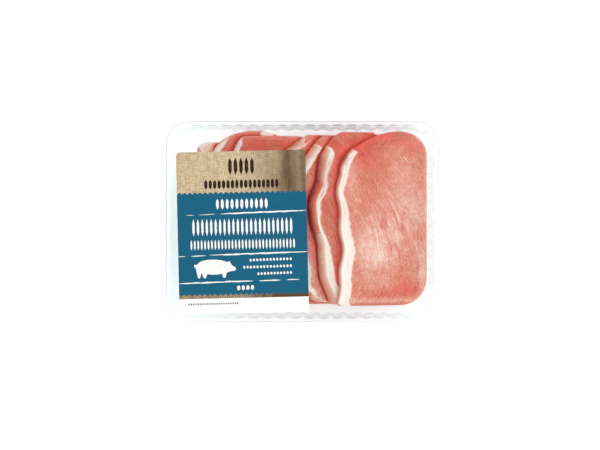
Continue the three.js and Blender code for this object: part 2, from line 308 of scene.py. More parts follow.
def tint_with_painted_shade(tree, place, facing, haze):
    """How far the plastic takes on its deeper tint, 0 to 1: facing, haze, and painted shade by
    place.
    """
    apart = node(tree, "ShaderNodeSeparateXYZ", {0: place}).outputs
    cloud = {name: ranged(tree, apart[axis], start * MM, stop * MM, *strengths)
             for name, (axis, start, stop, *strengths) in PAINTED_SHADE_BY_PLACE.items()}
    side = total(tree, product(tree, cloud["left"], cloud["right"]), cloud["right wall"])
    walls = product(tree, cloud["back"], cloud["front"], side, cloud["height"],
                    swing(tree, haze, 0.6, 1.2))
    rim = product(tree, cloud["rim"], cloud["rim's back"])
    # painted shade on the back wall at the left, beside the meat's end
    back_left_shade = product(tree, cloud["painted shade at the left"], cloud["back ledge"])
    slanted = product(tree, facing, total(tree, math_node(tree, "MAXIMUM", walls, rim), back_left_shade))
    ends = math_node(tree, "MAXIMUM", cloud["back ledge"], cloud["front ledge"])
    ledge = product(tree, cloud["above the ledge"], cloud["below the rim"], ends, side)
    return math_node(tree, "MAXIMUM", slanted, ledge, clamp=True)


def clear_plastic(name, tint, edge_tint, shine, gloss, ripple, ripple_size):
    """A clear sheet: `shine` scales its mirroring, `gloss` is its roughness."""
    material, tree = new_material(name)
    place = object_place(tree)
    waves = bumped(tree, speckle(tree, ripple_size, place), 1.0, ripple)
    facing = node(tree, "ShaderNodeLayerWeight", {"Blend": 0.2, "Normal": waves}).outputs["Facing"]
    haze = speckle(tree, HAZE, place, detail=4)
    depth = tint_with_painted_shade(tree, place, facing, haze)
    clear = node(tree, "ShaderNodeBsdfTransparent", {"Color": mixed(tree, depth, tint, edge_tint)})
    mirror = node(tree, "ShaderNodeBsdfGlossy", {
        "Color": MIRROR_TINT, "Normal": waves,
        "Roughness": ranged(tree, haze, 0.2, 0.8, gloss, 2 * gloss)})
    fresnel = node(tree, "ShaderNodeFresnel", {"IOR": PLASTIC_IOR, "Normal": waves}).outputs[0]
    surface(tree, node(tree, "ShaderNodeMixShader", {
        0: product(tree, fresnel, shine), 1: clear.outputs[0], 2: mirror.outputs[0]}))
    return material


tray_plastic = clear_plastic("tray plastic", srgb(253, 255, 255), srgb(199, 197, 200), shine=0.22,
                             gloss=0.08, ripple=0.06 * MM, ripple_size=9 * MM)
film_plastic = clear_plastic("film plastic", srgb(255, 255, 255), srgb(250, 250, 251), shine=0.12,
                             gloss=0.05, ripple=0.02 * MM, ripple_size=14 * MM)
print("materials:", tray_plastic.name, "and", film_plastic.name)

# %% [markdown]
# ## The tray's skin
#
# A formed tray is one sheet of even thickness, so we model its upper face alone
# and let Solidify give it the sheet's thickness. That face is a stack of level
# rings, each a rounded rectangle: floor, wall, ledge, mouth, flange and the
# turned-down edge. These are its sizes, and the outer ones come from the CAD
# model.

# %% Sizes of the tray
SHEET = 0.6 * MM
FLANGE = Vector(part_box("tray")[1])  # half length, half width and height
FLANGE_CORNER = 8 * MM
LAND_CORNER = 13 * MM
LIP_DROP = 2.4 * MM
SEAL_SIDE = 1.7 * MM  # the lower strip round the sealed land, at the sides
SEAL_LONG = 5.2 * MM  # and along the long edges
SEAL_RISE = 0.5 * MM
SEAL_SLOPE = 0.4 * MM
MOUTH = Vector((109.2, 80.4)) * MM
MOUTH_CORNER = 19 * MM
LEDGE_DEPTH = 3.6 * MM
LEDGE_WIDTH = 2.8 * MM
LEDGE_SLOPE = 0.8 * MM
WALL_DRAFT = math.radians(3)
FLOOR_FILLET = 3 * MM
FLUTES = (11, 16)  # on a short side and on a long one
FLUTE_START = 1 * MM  # below the ledge
FLUTE_FOOT = 0.6  # the share of a flute that the floor's edge carries
FLUTE_STEPS = 10  # facets across one flute
CORNER_STEPS = 12
BEND_STEPS = 4
WALL_ROWS = 6

ledge_height = FLANGE.z - LEDGE_DEPTH
edge_height = FLANGE.z - SEAL_RISE
print("the ledge lies", round(ledge_height / MM, 1), "mm above the floor")

# %% [markdown]
# Each ring is five numbers: half length, half width, corner radius, height, and
# how much of a flute it carries. In the list of stations below, a ring comes
# with the radius of the bend there, and where that isn't nought, the corner of
# the section is replaced by a short curve through the same five numbers.

# %% Levels of the tray


def level(half_x, half_y, corner, z, flute=0.0):
    return np.array([half_x, half_y, corner, z, flute])


def wall_level(z, inward=0.0, flute=0.0):
    """A ring of the wall, which leans in by its draft from the ledge down."""
    inward += LEDGE_SLOPE + LEDGE_WIDTH + (ledge_height - z) * math.tan(WALL_DRAFT)
    return level(MOUTH.x - inward, MOUTH.y - inward, MOUTH_CORNER - inward, z, flute)


def with_bends(stations):
    """Replaces each station that has a bend radius by a curve past its corner."""
    rounded = []
    for i, (here, radius) in enumerate(stations):
        if radius == 0:
            rounded.append(here)
            continue
        ends = []
        for other in (stations[i - 1][0], stations[i + 1][0]):
            gap = np.hypot(other[0] - here[0], other[3] - here[3])
            ends.append(here + (other - here) * min(0.5, radius / gap))
        for t in np.linspace(0, 1, BEND_STEPS + 1):
            rounded.append((1 - t) ** 2 * ends[0] + 2 * t * (1 - t) * here + t ** 2 * ends[1])
    return rounded


land = level(FLANGE.x - SEAL_SIDE, FLANGE.y - SEAL_LONG, LAND_CORNER, FLANGE.z)
strip = level(land[0] + SEAL_SLOPE, land[1] + SEAL_SLOPE, land[2] + SEAL_SLOPE, edge_height)
edge = level(FLANGE.x, FLANGE.y, FLANGE_CORNER, edge_height)
lip = level(FLANGE.x, FLANGE.y, FLANGE_CORNER, FLANGE.z - LIP_DROP)
wall_heights = np.linspace(SHEET + 2 * FLOOR_FILLET, ledge_height - FLUTE_START, WALL_ROWS)
stations = [  # each ring with the radius of its bend
    (wall_level(SHEET, inward=4 * FLOOR_FILLET), 0),
    (wall_level(SHEET, flute=FLUTE_FOOT), FLOOR_FILLET),
    *[(wall_level(z, flute=1.0), 0) for z in wall_heights],
    (wall_level(ledge_height), 0.5 * MM),
    (level(MOUTH.x - LEDGE_SLOPE, MOUTH.y - LEDGE_SLOPE, MOUTH_CORNER - LEDGE_SLOPE,
           ledge_height), 0.8 * MM),
    (level(MOUTH.x, MOUTH.y, MOUTH_CORNER, FLANGE.z), 0.6 * MM),
    (land, 0.2 * MM),
    (strip, 0.2 * MM),
    (edge, 0.8 * MM),
    (lip, 0),
]
tray_levels = with_bends(stations)
print(len(tray_levels), "levels from the floor to the lip")

# %% [markdown]
# Now the rings become a mesh. Every point also keeps three things that the
# flutes will need: which way is outward, how far along its side it is counted in
# flutes, and how high it stands.

# %% Rings and the skin between them


def ring(half_x, half_y, corner, steps):
    """Points of a rounded rectangle, with their outward direction and flute count.

    `steps` gives the facets on a short side and on a long one. The ring runs
    anticlockwise from the lower end of the right side.
    """
    points, outward, count = [], [], []
    for quarter in range(4):
        angle = quarter * math.pi / 2
        out = Vector((math.cos(angle), math.sin(angle)))
        onward = Vector((-out.y, out.x))
        reach, run = (half_x, half_y) if quarter % 2 == 0 else (half_y, half_x)
        facets = steps[quarter % 2]
        for i in range(facets):
            share = i / facets
            points.append(out * reach + onward * (run - corner) * (2 * share - 1))
            outward.append(out)
            count.append(share * FLUTES[quarter % 2])
        middle = out * (reach - corner) + onward * (run - corner)
        for i in range(CORNER_STEPS):
            turn = angle + math.pi / 2 * i / CORNER_STEPS
            ray = Vector((math.cos(turn), math.sin(turn)))
            points.append(middle + ray * corner)
            outward.append(ray)
            count.append(0.0)
    return points, outward, count


def ringed_sheet(name, levels, steps, material):
    """A sheet through level rings, closed in the middle by a fan to one point."""
    vertices = [(0, 0, levels[0][3])]
    outward = [(0, 0, 0)]
    count, height, flute = [0.0], [0.0], [0.0]
    faces = []
    for number, (half_x, half_y, corner, z, share) in enumerate(levels):
        points, rays, counted = ring(half_x, half_y, corner, steps)
        around = len(points)
        start = 1 + number * around
        vertices += [(p.x, p.y, z) for p in points]
        outward += [(r.x, r.y, 0) for r in rays]
        count += counted
        height += [z] * around
        flute += [share] * around
        for i in range(around):
            onward = (i + 1) % around
            if number == 0:
                faces.append((0, start + i, start + onward))
            else:
                below = start - around
                faces.append((below + i, start + i, start + onward, below + onward))
    sheet = new_piece(name, vertices, faces, material)
    for label, values in (("count", count), ("height", height), ("flute", flute)):
        sheet.data.attributes.new(label, "FLOAT", "POINT").data.foreach_set("value", values)
    rays = sheet.data.attributes.new("outward", "FLOAT_VECTOR", "POINT")
    rays.data.foreach_set("vector", np.array(outward, float).ravel())
    return sheet


tray_steps = (FLUTES[0] * FLUTE_STEPS, FLUTES[1] * FLUTE_STEPS)
tray = ringed_sheet("clear_tray", tray_levels, tray_steps, tray_plastic)
print(tray.name, "starts with", len(tray.data.polygons), "faces, still without flutes")

# %% [markdown]
# ## Flutes, with Geometry Nodes
#
# The walls are fluted for stiffness: upright bulges side by side, deeper at the
# floor than under the ledge. They follow one rule all the way round, which is
# what Geometry Nodes are good at. The tree moves each point outward by a wave of
# its flute count. Its sizes are named inputs, so another tray needs no new tree.

# %% A tree builder


def new_tree(name, **sockets):
    """A Geometry Nodes tree with a geometry input and the named inputs."""
    tree = bpy.data.node_groups.new(name, "GeometryNodeTree")
    tree.interface.new_socket("Geometry", in_out="INPUT", socket_type="NodeSocketGeometry")
    for label, kind in sockets.items():
        tree.interface.new_socket(label, in_out="INPUT", socket_type="NodeSocket" + kind)
    tree.interface.new_socket("Geometry", in_out="OUTPUT", socket_type="NodeSocketGeometry")
    return tree, tree.nodes.new("NodeGroupInput").outputs


def close_tree(tree, geometry, material):
    """Ends a tree: real geometry, with its material."""
    real = node(tree, "GeometryNodeRealizeInstances", {"Geometry": geometry})
    dressed = node(tree, "GeometryNodeSetMaterial",
                   {"Geometry": real.outputs[0], "Material": material})
    tree.links.new(dressed.outputs[0], tree.nodes.new("NodeGroupOutput").inputs[0])


def named(tree, name, kind="FLOAT"):
    found = node(tree, "GeometryNodeInputNamedAttribute", {"Name": name}, data_type=kind)
    return found.outputs["Attribute"]


flute_tree, given = new_tree(
    "flutes", depth_above="Float", depth_below="Float", height_above="Float",
    height_below="Float", fullness="Float", plastic="Material")
turn = product(flute_tree, named(flute_tree, "count"), 2 * math.pi)
wave = math_node(flute_tree, "COSINE", turn)
swell = math_node(flute_tree, "MULTIPLY_ADD", wave, -0.5, 0.5)  # 0 between flutes, 1 on them
depth = ranged(flute_tree, named(flute_tree, "height"), given["height_below"],
               given["height_above"], given["depth_below"], given["depth_above"])
bulge = product(flute_tree, math_node(flute_tree, "POWER", swell, given["fullness"]), depth,
                named(flute_tree, "flute"))
step = node(flute_tree, "ShaderNodeVectorMath",
            {0: named(flute_tree, "outward", "FLOAT_VECTOR"), "Scale": bulge}, operation="SCALE")
moved = node(flute_tree, "GeometryNodeSetPosition",
             {"Geometry": given["Geometry"], "Offset": step.outputs[0]})
close_tree(flute_tree, moved.outputs[0], given["plastic"])
print("the flute tree has", len(flute_tree.nodes), "nodes")

# %% [markdown]
# The tree runs as a modifier. What it makes is then read back as a plain mesh,
# and Solidify turns the sheet into plastic of real thickness. The plain mesh is
# attached to the body it rides on, and the CAD node that it stands for is hidden.

# %% The fluted tray
FLUTE_TOP = 0.8 * MM
FLUTE_BOTTOM = 2.0 * MM
FLUTE_FULLNESS = 0.7  # below 1, a bulge is rounder than a plain wave


def settle(piece):
    """Turns what a piece's modifiers make into its plain mesh."""
    graph = bpy.context.evaluated_depsgraph_get()
    mesh = bpy.data.meshes.new_from_object(piece.evaluated_get(graph))
    piece.modifiers.clear()
    piece.data = mesh
    return piece


def grow(piece, tree, **values):
    """Runs a tree on a piece. Each input is set by its socket's identifier."""
    modifier = piece.modifiers.new(tree.name, "NODES")
    modifier.node_group = tree
    for item in tree.interface.items_tree:
        if item.item_type == "SOCKET" and item.in_out == "INPUT" and item.name in values:
            modifier[item.identifier] = values[item.name]
    return settle(piece)


def thicken(piece, thickness):
    """Gives a sheet its thickness, on the side away from its normals."""
    solid = piece.modifiers.new("thickness", "SOLIDIFY")
    solid.thickness = thickness
    solid.offset = -1.0
    return settle(piece)


def smooth(piece, angle=40):
    """Smooth shading, with edges sharper than `angle` kept crisp."""
    piece.data.shade_smooth()
    piece.data.set_sharp_from_angle(angle=math.radians(angle))
    return piece


def finish_piece(piece, slot, *nodes):
    """Attaches a piece to its body and hides the CAD nodes that it stands for."""
    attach(piece, BODY)
    if nodes:
        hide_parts(*nodes)


grow(tray, flute_tree, depth_above=FLUTE_TOP, depth_below=FLUTE_BOTTOM,
     height_above=ledge_height, height_below=SHEET, fullness=FLUTE_FULLNESS,
     plastic=tray_plastic)
thicken(tray, SHEET)
smooth(tray)
finish_piece(tray, "clear_tray", "tray")
print(2 * sum(FLUTES), "flutes;", tray.name, "now has", len(tray.data.polygons), "faces")

# %% [markdown]
# ## The lid film
#
# The film is a thin sheet sealed to the flange. Heat pulls it tight, but never
# quite flat. A few tenths of a millimetre of slow waves are enough to break up
# what it mirrors. It is made from rings too, because they give it points inside
# its outline to wave.

# %% Lid film
FILM_THICKNESS = 0.2 * MM
FILM_RINGS = 14
FILM_STEPS = (22, 28)
FILM_SEALED = 10 * MM  # towards the edge, where it is sealed, the waves die away
FILM_WAVE = 0.12 * MM
FILM_WAVE_LENGTH = 60 * MM

film_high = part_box("lid_film")[1]
film_levels = []
for i in range(1, FILM_RINGS + 1):
    share = i / FILM_RINGS
    film_levels.append(level(film_high.x * share, film_high.y * share,
                             FLANGE_CORNER * share, film_high.z))
film = ringed_sheet("lid_film_sheet", film_levels, FILM_STEPS, film_plastic)
for vertex in film.data.vertices:
    inside = min(1.0, (film_high.x - abs(vertex.co.x)) / FILM_SEALED,
                 (film_high.y - abs(vertex.co.y)) / FILM_SEALED)
    lift = noise.noise(vertex.co / FILM_WAVE_LENGTH)
    vertex.co.z -= FILM_WAVE * max(0.0, inside) * (1 + lift)
thicken(film, FILM_THICKNESS)
smooth(film)
finish_piece(film, "clear_film", "lid_film")
print(film.name, "lies at", round(film_high.z / MM, 1), "mm")

# %% [markdown]
# ## The cut of a chop
#
# Every slice comes off the same boneless loin, so the slices share one outline:
# a long fat edge on the left, a rounded plain edge on the right, and two short
# ends. Its edges are formulas, not points. Each slice then gets its own place,
# bow, waves and width of fat. The same numbers shaped the CAD solids, so each
# dressed slice lands exactly on its solid.

# %% Numbers of the slices
CHOP_THICKNESS = 5.4 * MM
SEAM = 0.12 * CHOP_THICKNESS  # height of the widest outline above the underside
RIM = 2.7 * MM
UNDER_RIM = 0.5 * MM
SLICE_GAP = 0.7 * MM
DRAPE = 40 * MM
FAT_STEP = (6.0, 24.0)  # Y between which the fat goes from its lower to its upper width
SHADE_STEP = (-18.0, 4.0)  # and the same for its shaded side
RAGGED = ((0.45, 9.0, 0.0), (0.4, 2.4, 0.5))  # how the fat's width wanders: size, length, seed
WAVES = ((90.0, 1.7, -25.0, 1), (32.0, 1.0, 9.0, 2))  # length, size, crest, follow
SQUARE = (4.0, 4.0, 2.0)  # a corner: across, along, power
RIGHT_TOP = (23.0, 19.0, 2.0)
RIGHT_BOTTOM = (22.0, 22.0, 2.0)

# Millimetres, topmost slice first: X of the fat edge, width, Y of both ends,
# bow, wave shift, upper and lower corner, roll of the edge, fat above and
# below, Y of the fat's tip and its taper, how far the fat's shaded side reaches
# above and below, and how red or pale the lean is.
NAMES = "left width top bottom bow wave corner foot roll fat tip taper shade tone".split()
CHOP_ROWS = (
    (29.2, 74, 74.2, -68.6, 0, 0, (46, 31, 1.6), SQUARE, 3.4, (6.8, 10.2), 58, 2, (6.5, 3), 0),
    (6, 75, 73.4, -67.6, 15, 20, (14, 22, 2), SQUARE, 7.4, (9.8, 10.4), 61, 6, (10.5, 9.4), -0.55),
    (-9, 75, 71, -66, 10, 8, (20, 34, 1.8), (14, 15, 2), 8, (9.2, 9.8), 63, 3, (7.6, 7.6), 0.15),
    (-29, 76, 71.4, -67.8, 6, -12, (26, 30, 1.3), SQUARE, 6, (8.4, 9.4), 69, 7, (6, 6), 0.1),
    (-64.4, 82, 70.4, -66, 3, 24, (16, 24, 1.5), SQUARE, 4.6, (5.2, 8.6), 68, 5, (2.6, 2.6), 0),
    (-83.2, 72, 75, -64.8, 4, -5, (38, 42, 2.3), SQUARE, 6.6, (6.8, 9.2), 70, 7, (2.6, 2.6), -0.1),
    (-90, 68, 66, -63.4, 2, 13, (9, 8, 2), SQUARE, 7.6, (8.8, 9.6), 62, 7, (5, 5), 2.1),
)
CHOPS = [dict(zip(NAMES, row), number=number) for number, row in enumerate(CHOP_ROWS)]
# For a slice by its number, where the edge turns in once more, and where the fat
# swells or thins: Y of the place, its reach, and the shift or the added width.
EDGE_BENDS = {1: [(-16, 11, 5.7)]}
FAT_SWELLS = {
    0: [(8, 9, -2.4), (48, 8, 1.0), (-30, 10, 0.8)],
    1: [(-4, 13, -2.2), (-42, 16, 2.1), (-62, 9, 3.0), (24, 7, 1.8), (37, 6, -1.6), (50, 9, 1.0)],
    2: [(46, 6, 1.5)],
}
print(len(CHOPS), "slices, each", CHOPS[0]["top"] - CHOPS[0]["bottom"], "mm long or a little less")

# %% [markdown]
# The edges come as functions of Y that take a whole array of rows at once. The
# curve of the fat edge is a bow, two waves and a few local bends, and the
# corners are cut in at both ends. What lies below a slice lifts it, and past the
# edge of the lower one it drapes down in half a cosine wave.

# %% Edges of a slice
TRAY_CLEARANCE = 0.3 * MM
LINE_SEEDS, LINE_HEIGHT = 7.3, 1.7  # where a line of noise is read
LINE_GAIN = 1.6  # brings that noise to about -1 to 1


def corner_inset(corner, from_end):
    """How far a corner cuts in at a given distance before the slice's end."""
    across, along, power = corner
    share = np.clip(1 - from_end / along, 0, 1)
    return across * (1 - (1 - share ** power) ** (1 / power))


def left_edge(chop, y):
    half = (chop["top"] - chop["bottom"]) / 2
    middle = (chop["top"] + chop["bottom"]) / 2
    edge = chop["left"] + chop["bow"] * ((y - middle) / half) ** 2
    for length, size, crest, follow in WAVES:
        edge = edge + size * np.cos(2 * np.pi * (y - crest + follow * chop["wave"]) / length)
    for middle, reach, shift in EDGE_BENDS.get(chop["number"], []):
        edge = edge + shift * np.exp(-((y - middle) / reach) ** 2)
    edge = edge + corner_inset(chop["corner"], chop["top"] - y)
    return edge + corner_inset(chop["foot"], y - chop["bottom"])


def right_edge(chop, y):
    edge = chop["left"] + chop["width"] - corner_inset(RIGHT_TOP, chop["top"] - y)
    return edge - corner_inset(RIGHT_BOTTOM, y - chop["bottom"])


def wander(values, length, seed):
    """Slow unevenness along a line, between about -1 and 1."""
    flat = np.ravel(values)
    drift = [noise.noise(Vector((v / length, seed * LINE_SEEDS, LINE_HEIGHT))) for v in flat]
    return LINE_GAIN * np.reshape(drift, np.shape(values))


def stepped(y, pair, step):
    """The first of two numbers above the step, the second below it."""
    share = np.clip((y - step[0]) / (step[1] - step[0]), 0, 1)
    return pair[1] + (pair[0] - pair[1]) * share * share * (3 - 2 * share)


def fat_width(chop, y):
    """Full width below and less above, ragged, and rounding off to its tip."""
    number = chop["number"]
    width = stepped(y, chop["fat"], FAT_STEP)
    for middle, half, more in FAT_SWELLS.get(number, []):
        width = width + more * np.exp(-((y - middle) / half) ** 2)
    for size, length, seed in RAGGED:
        width = width + size * wander(y, length, number + seed)
    return width * np.sqrt(np.clip((chop["tip"] - y) / chop["taper"], 0, 1))


def quarter_round(distance, radius):
    short = np.clip(1 - distance / radius, 0, 1)
    return np.sqrt(1 - short * short)


def underside(chop, x):
    """Height of a slice's underside, in metres: what lies below lifts it."""
    height = SHEET + TRAY_CLEARANCE
    for below in CHOPS[chop["number"] + 1:]:
        past = np.clip((x - below["left"] - below["width"]) * MM / DRAPE, 0, 1)
        height = height + (CHOP_THICKNESS + SLICE_GAP) * (0.5 + 0.5 * np.cos(np.pi * past))
    return height


print("fat edge of the top slice at mid length:", round(float(left_edge(CHOPS[0], 3.0)), 1), "mm")

# %% [markdown]
# ## What the meat looks like, point by point
#
# Raw loin is never one pink. It is paler where the knife pressed it dry, deeper
# where it is wet, and it carries thin pale streaks along its fibres. Some marks
# are painted light instead: painted shade along edges that turn from the lamp and
# beside the slice on top, and painted highlights where the top slice faces it. We
# store such marks on the mesh as attributes, one number a point, and let the
# shader turn them into colour. That keeps the marks where they are when the slice
# is seen from anywhere, and the same numbers can lift or sink the surface a little.

# %% Marks on the slices
# For a slice by its number, each mark: X and Y of its middle, half sizes, turn in
# degrees, and strength. A negative tone is deeper and redder, a positive paler.
# On the top slice, the pale marks in its middle are a painted highlight where its slope faces the
# lamp, and the deep ones along its upper-left edge are painted shade on the side turned from it.
TONE_AND_LIGHT_MARKS = {
    0: [(40, 31, 6, 14, 0, 0.8), (53, -20, 9, 17, 0, 1.4), (66, -22, 10, 16, 0, 1.0),
        (61, -30, 11, 9, 0, 0.7), (88, 14, 15, 26, 0, 0.95), (52, 40, 8, 14, 0, -0.35),
        (50, 58, 13, 9, 20, -0.9), (62, 50, 9, 12, 0, -0.4), (64, 66, 30, 5, 12, -0.6),
        (92, 62, 12, 12, 0, -0.2), (88, -54, 9, 7, 0, -0.8), (70, -59, 18, 4, 0, -0.7),
        (66, 8, 14, 10, 0, 0.4), (60, -48, 18, 9, 0, 0.35), (76, -16, 4, 9, 20, 0.9),
        (99, -42, 3, 20, 0, 1.1), (90, -20, 6, 14, 0, -0.1)],
    1: [(45, 66, 24, 8, 14, -0.6), (30, -40, 5, 18, 0, -0.3), (40, 70, 14, 3, 0, 0.4)],
    2: [(10, -40, 8, 20, 0, 0.4), (12, 60, 10, 8, 0, -0.4)],
    3: [(4, 60, 12, 8, 30, 0.4)],
    4: [(-20, 62, 30, 5, 0, -0.3)],
    5: [(-60, 65, 9, 9, 0, 0.6)],
    6: [(-78, 60, 16, 14, 0, 0.6)],
}
FAT_MARKS = {
    0: [(84.5, 51, 5.5, 0.5, -45, 0.75), (80.5, 48, 4, 0.4, -60, 0.5), (47, 70, 5, 0.4, 25, 0.4)],
    1: [(62.5, 72.5, 4, 1.6, 10, 1.3)],
    2: [(7, -58, 4.5, 6, 40, 1.1)],
    3: [(0, 61, 13, 1.7, 38, 0.6)],
    4: [(-22, 67.6, 26, 0.8, 0, 0.42)],
    5: [(-28.6, 72, 6, 3.2, 0, 1.4), (-18, 70, 3.5, 1.3, -40, 0.9)],
    6: [(-79, 60, 12, 8, 0, 0.5)],
}
# Lean that is wet and bright red. On the top slice, the marks along its upper-left
# edge are painted shade instead, on the side that turns from the lamp.
FLUSH_AND_SHADE_MARKS = {
    0: [(46, 60, 12, 4, 38, 0.65), (62, 69, 14, 3, 16, 0.8), (52, 50, 9, 8, 0, 0.35),
        (90, 62, 7, 8, 0, 0.25), (84, -55, 11, 6, 0, 0.4), (78, 66, 12, 5, -10, 0.3)],
    1: [(24, 64, 4, 8, 30, 0.8), (40, 73, 14, 3, 10, 0.35)],
    2: [(12, 67, 7, 4, 30, 0.5)],
    3: [(-8, 66, 12, 4, 30, 0.3)],
    4: [(-38, 62, 22, 9, 0, 0.85), (-12, 64, 10, 6, 0, 0.4)],
    5: [(-62, 62, 8, 10, 40, 0.5), (-44, 70, 10, 4, 10, 0.5)],
}
# Where the edge's fat is so thin that the lean shows through it, and where it
# is only cloudy.
FLESH_MARKS = {1: [(10, 12, 10, 22, 0, 2.2)], 2: [(-2, -12, 14, 44, 0, 3.0)]}
CLOUDY_MARKS = {
    0: [(33, 50, 5, 6, 0, 1.1), (30, 34, 3, 10, 0, 0.5)],
    1: [(16, 41, 12, 13, 0, 1.6), (24, -54, 10, 13, 0, 0.3)],
    2: [(-2, 44, 8, 12, 0, 0.5), (8, -42, 6, 14, 0, 1.0)],
    3: [(-4, 60, 24, 14, 0, 0.7)],
    4: [(-48, 60, 12, 14, 0, 0.6)],
    6: [(-80, 60, 16, 16, 0, 0.6)],
}
FIBRE_MARKS = [(78, -6, 12, 24, 12, 1.0), (64, -16, 16, 18, 0, 0.8), (94, -28, 8, 24, 0, 0.5),
               (60, 16, 12, 14, 0, 0.4)]
print(sum(map(len, TONE_AND_LIGHT_MARKS.values())), "tone marks,", sum(map(len, FAT_MARKS.values())),
      "fat marks")

# %% [markdown]
# A mark is a soft oval, and noise pushes its outline about, so that it doesn't
# look drawn. Two more things are worked out for every point. One is how far
# across the muscle fibres it lies, because the fibres sweep in a curve. The
# other is how near it lies to the slice on top, where a red painted shade stands
# for the shadow that slice casts.

# %% Where a point lies
# Below, the red juice in the crease is painted shade: it stands for the shadow of the slice on top,
# beside its edge.
CREASE_REACH = (2.4, 4.2)  # millimetres of red juice beside the slice on top: below, above
CREASE_STEP = (-10, 30)  # Y between which it goes from the one to the other
CREASE_WANDER = (0.4, 12.0, 40)  # how much that reach varies, over what length, and its seed
CREASE_STEEPEST = 3  # the slope of the edge on top, as far as the juice follows it
FIRST_CREASE = 0.6  # the juice beside the topmost slice, below, is weaker
FIELD_SEEDS = 3.1  # how far apart two layers of noise lie
PAST_END = 2.5  # past the end of the slice on top, the juice stops this much sooner
# Muscle fibres run down the slice in long curves: nearly straight above
# BEND_HEIGHT and turning left below it.
BEND_HEIGHT = -47.0
SWEEP_ABOVE = 0.0046
SWEEP_BELOW = 0.027


def fibre_place(x, y):
    """Distance across the fibres: the same number all along one fibre."""
    rise = y - BEND_HEIGHT
    return x + np.where(rise > 0, SWEEP_ABOVE, SWEEP_BELOW) * rise * rise


def noise_field(x, y, size, seed):
    """Noise over the slice, with lumps of about `size` millimetres."""
    return np.array([noise.noise(Vector((a / size, b / size, seed * FIELD_SEEDS)))
                     for a, b in zip(x, y)])


def marked(marks, x, y, shift_x, shift_y):
    field = np.zeros_like(x)
    for middle_x, middle_y, half_x, half_y, turn, strength in marks:
        angle = math.radians(turn)
        dx = x + shift_x - middle_x
        dy = y + shift_y - middle_y
        along = (dx * math.cos(angle) + dy * math.sin(angle)) / half_x
        across = (dy * math.cos(angle) - dx * math.sin(angle)) / half_y
        field += strength * np.exp(-(along ** 2 + across ** 2))
    return field


def under_next(chop, x, y):
    """How close a point lies to the edge of the slice on top, 0 to 1: the strength of the painted
    shade there.
    """
    number = chop["number"]
    if number == 0:
        return np.zeros_like(x)
    above = CHOPS[number - 1]
    inside = np.clip(y, above["bottom"], above["top"])
    slope = left_edge(above, inside + 0.5) - left_edge(above, inside - 0.5)
    slope = np.clip(slope, -CREASE_STEEPEST, CREASE_STEEPEST)
    gap = np.maximum(left_edge(above, inside) - x, 0) / np.hypot(1, slope)
    share = np.clip((y - CREASE_STEP[0]) / (CREASE_STEP[1] - CREASE_STEP[0]), 0, 1)
    reach = CREASE_REACH[0] + (CREASE_REACH[1] - CREASE_REACH[0]) * share
    size, length, seed = CREASE_WANDER
    reach = reach * (1 + size * wander(y, length, number + seed))
    depth = FIRST_CREASE + (1 - FIRST_CREASE) * share if number == 1 else 1.0
    return depth * np.exp(-(np.hypot(gap, PAST_END * (y - inside)) / reach) ** 2)


print("at a slice's foot a fibre has swept", round(float(fibre_place(0.0, CHOPS[0]["bottom"])), 1),
      "mm to the left")

# %% [markdown]
# ## Building one slice
#
# A slice is two closed meshes: the lean, and the fat that runs through along its
# left edge. Both are grids. Rows run across the slice and crowd together at the
# ends, and columns crowd together at the rims, so that the rounding is smooth.
# The upper and the lower sheet meet at the outline, where they are welded.

# %% Rows and columns
FINE = 0.7  # spacing of the grid on the top slice, in millimetres
COARSE = 1.1  # and on those that the label or other slices mostly hide
RIM_STEPS = 6
FOOT_STEPS = 18
HEAD_STEPS = 16
TIP_STEPS = 9
CLOSEST = 0.02  # rows nearer than this are one
NEAR = 1e-6


def crowded(start, stop, steps):
    """Places that crowd together towards the start."""
    return start + (stop - start) * (1 - np.cos(np.linspace(0, np.pi / 2, steps + 1)))


def crowded_both(steps):
    return 0.5 - 0.5 * np.cos(np.linspace(0, np.pi, steps + 1))


def rows_of(chop, spacing, stop):
    """Y of the rows, from the lower end to `stop`, crowded at the ends and the tip."""
    low, high, tip = chop["bottom"], chop["top"], chop["tip"]
    foot, head = low + RIGHT_BOTTOM[1], high - RIGHT_TOP[1]
    parts = [crowded(low, foot, FOOT_STEPS), crowded(high, head, HEAD_STEPS),
             np.arange(foot, head, spacing),
             tip - chop["taper"] * np.linspace(0, 1, TIP_STEPS) ** 2, [tip, stop]]
    places = np.unique(np.round(np.concatenate(parts), 3))
    places = places[places <= stop + NEAR]
    return places[np.concatenate([[True], np.diff(places) > CLOSEST])]


print("rows on the top slice:", len(rows_of(CHOPS[0], FINE, CHOPS[0]["top"])))

# %% [markdown]
# The height of a point is the slice's thickness, rounded off at its edges, plus a
# relief: slow lumps, the furrows between fibres and the crest of the fat. The
# colours follow the same numbers, so what stands proud and what looks pale agree.
# The lean is paler along its right edge, a painted highlight where that rim faces
# the lamp. It is paler a little above its foot, and darker at the very foot.

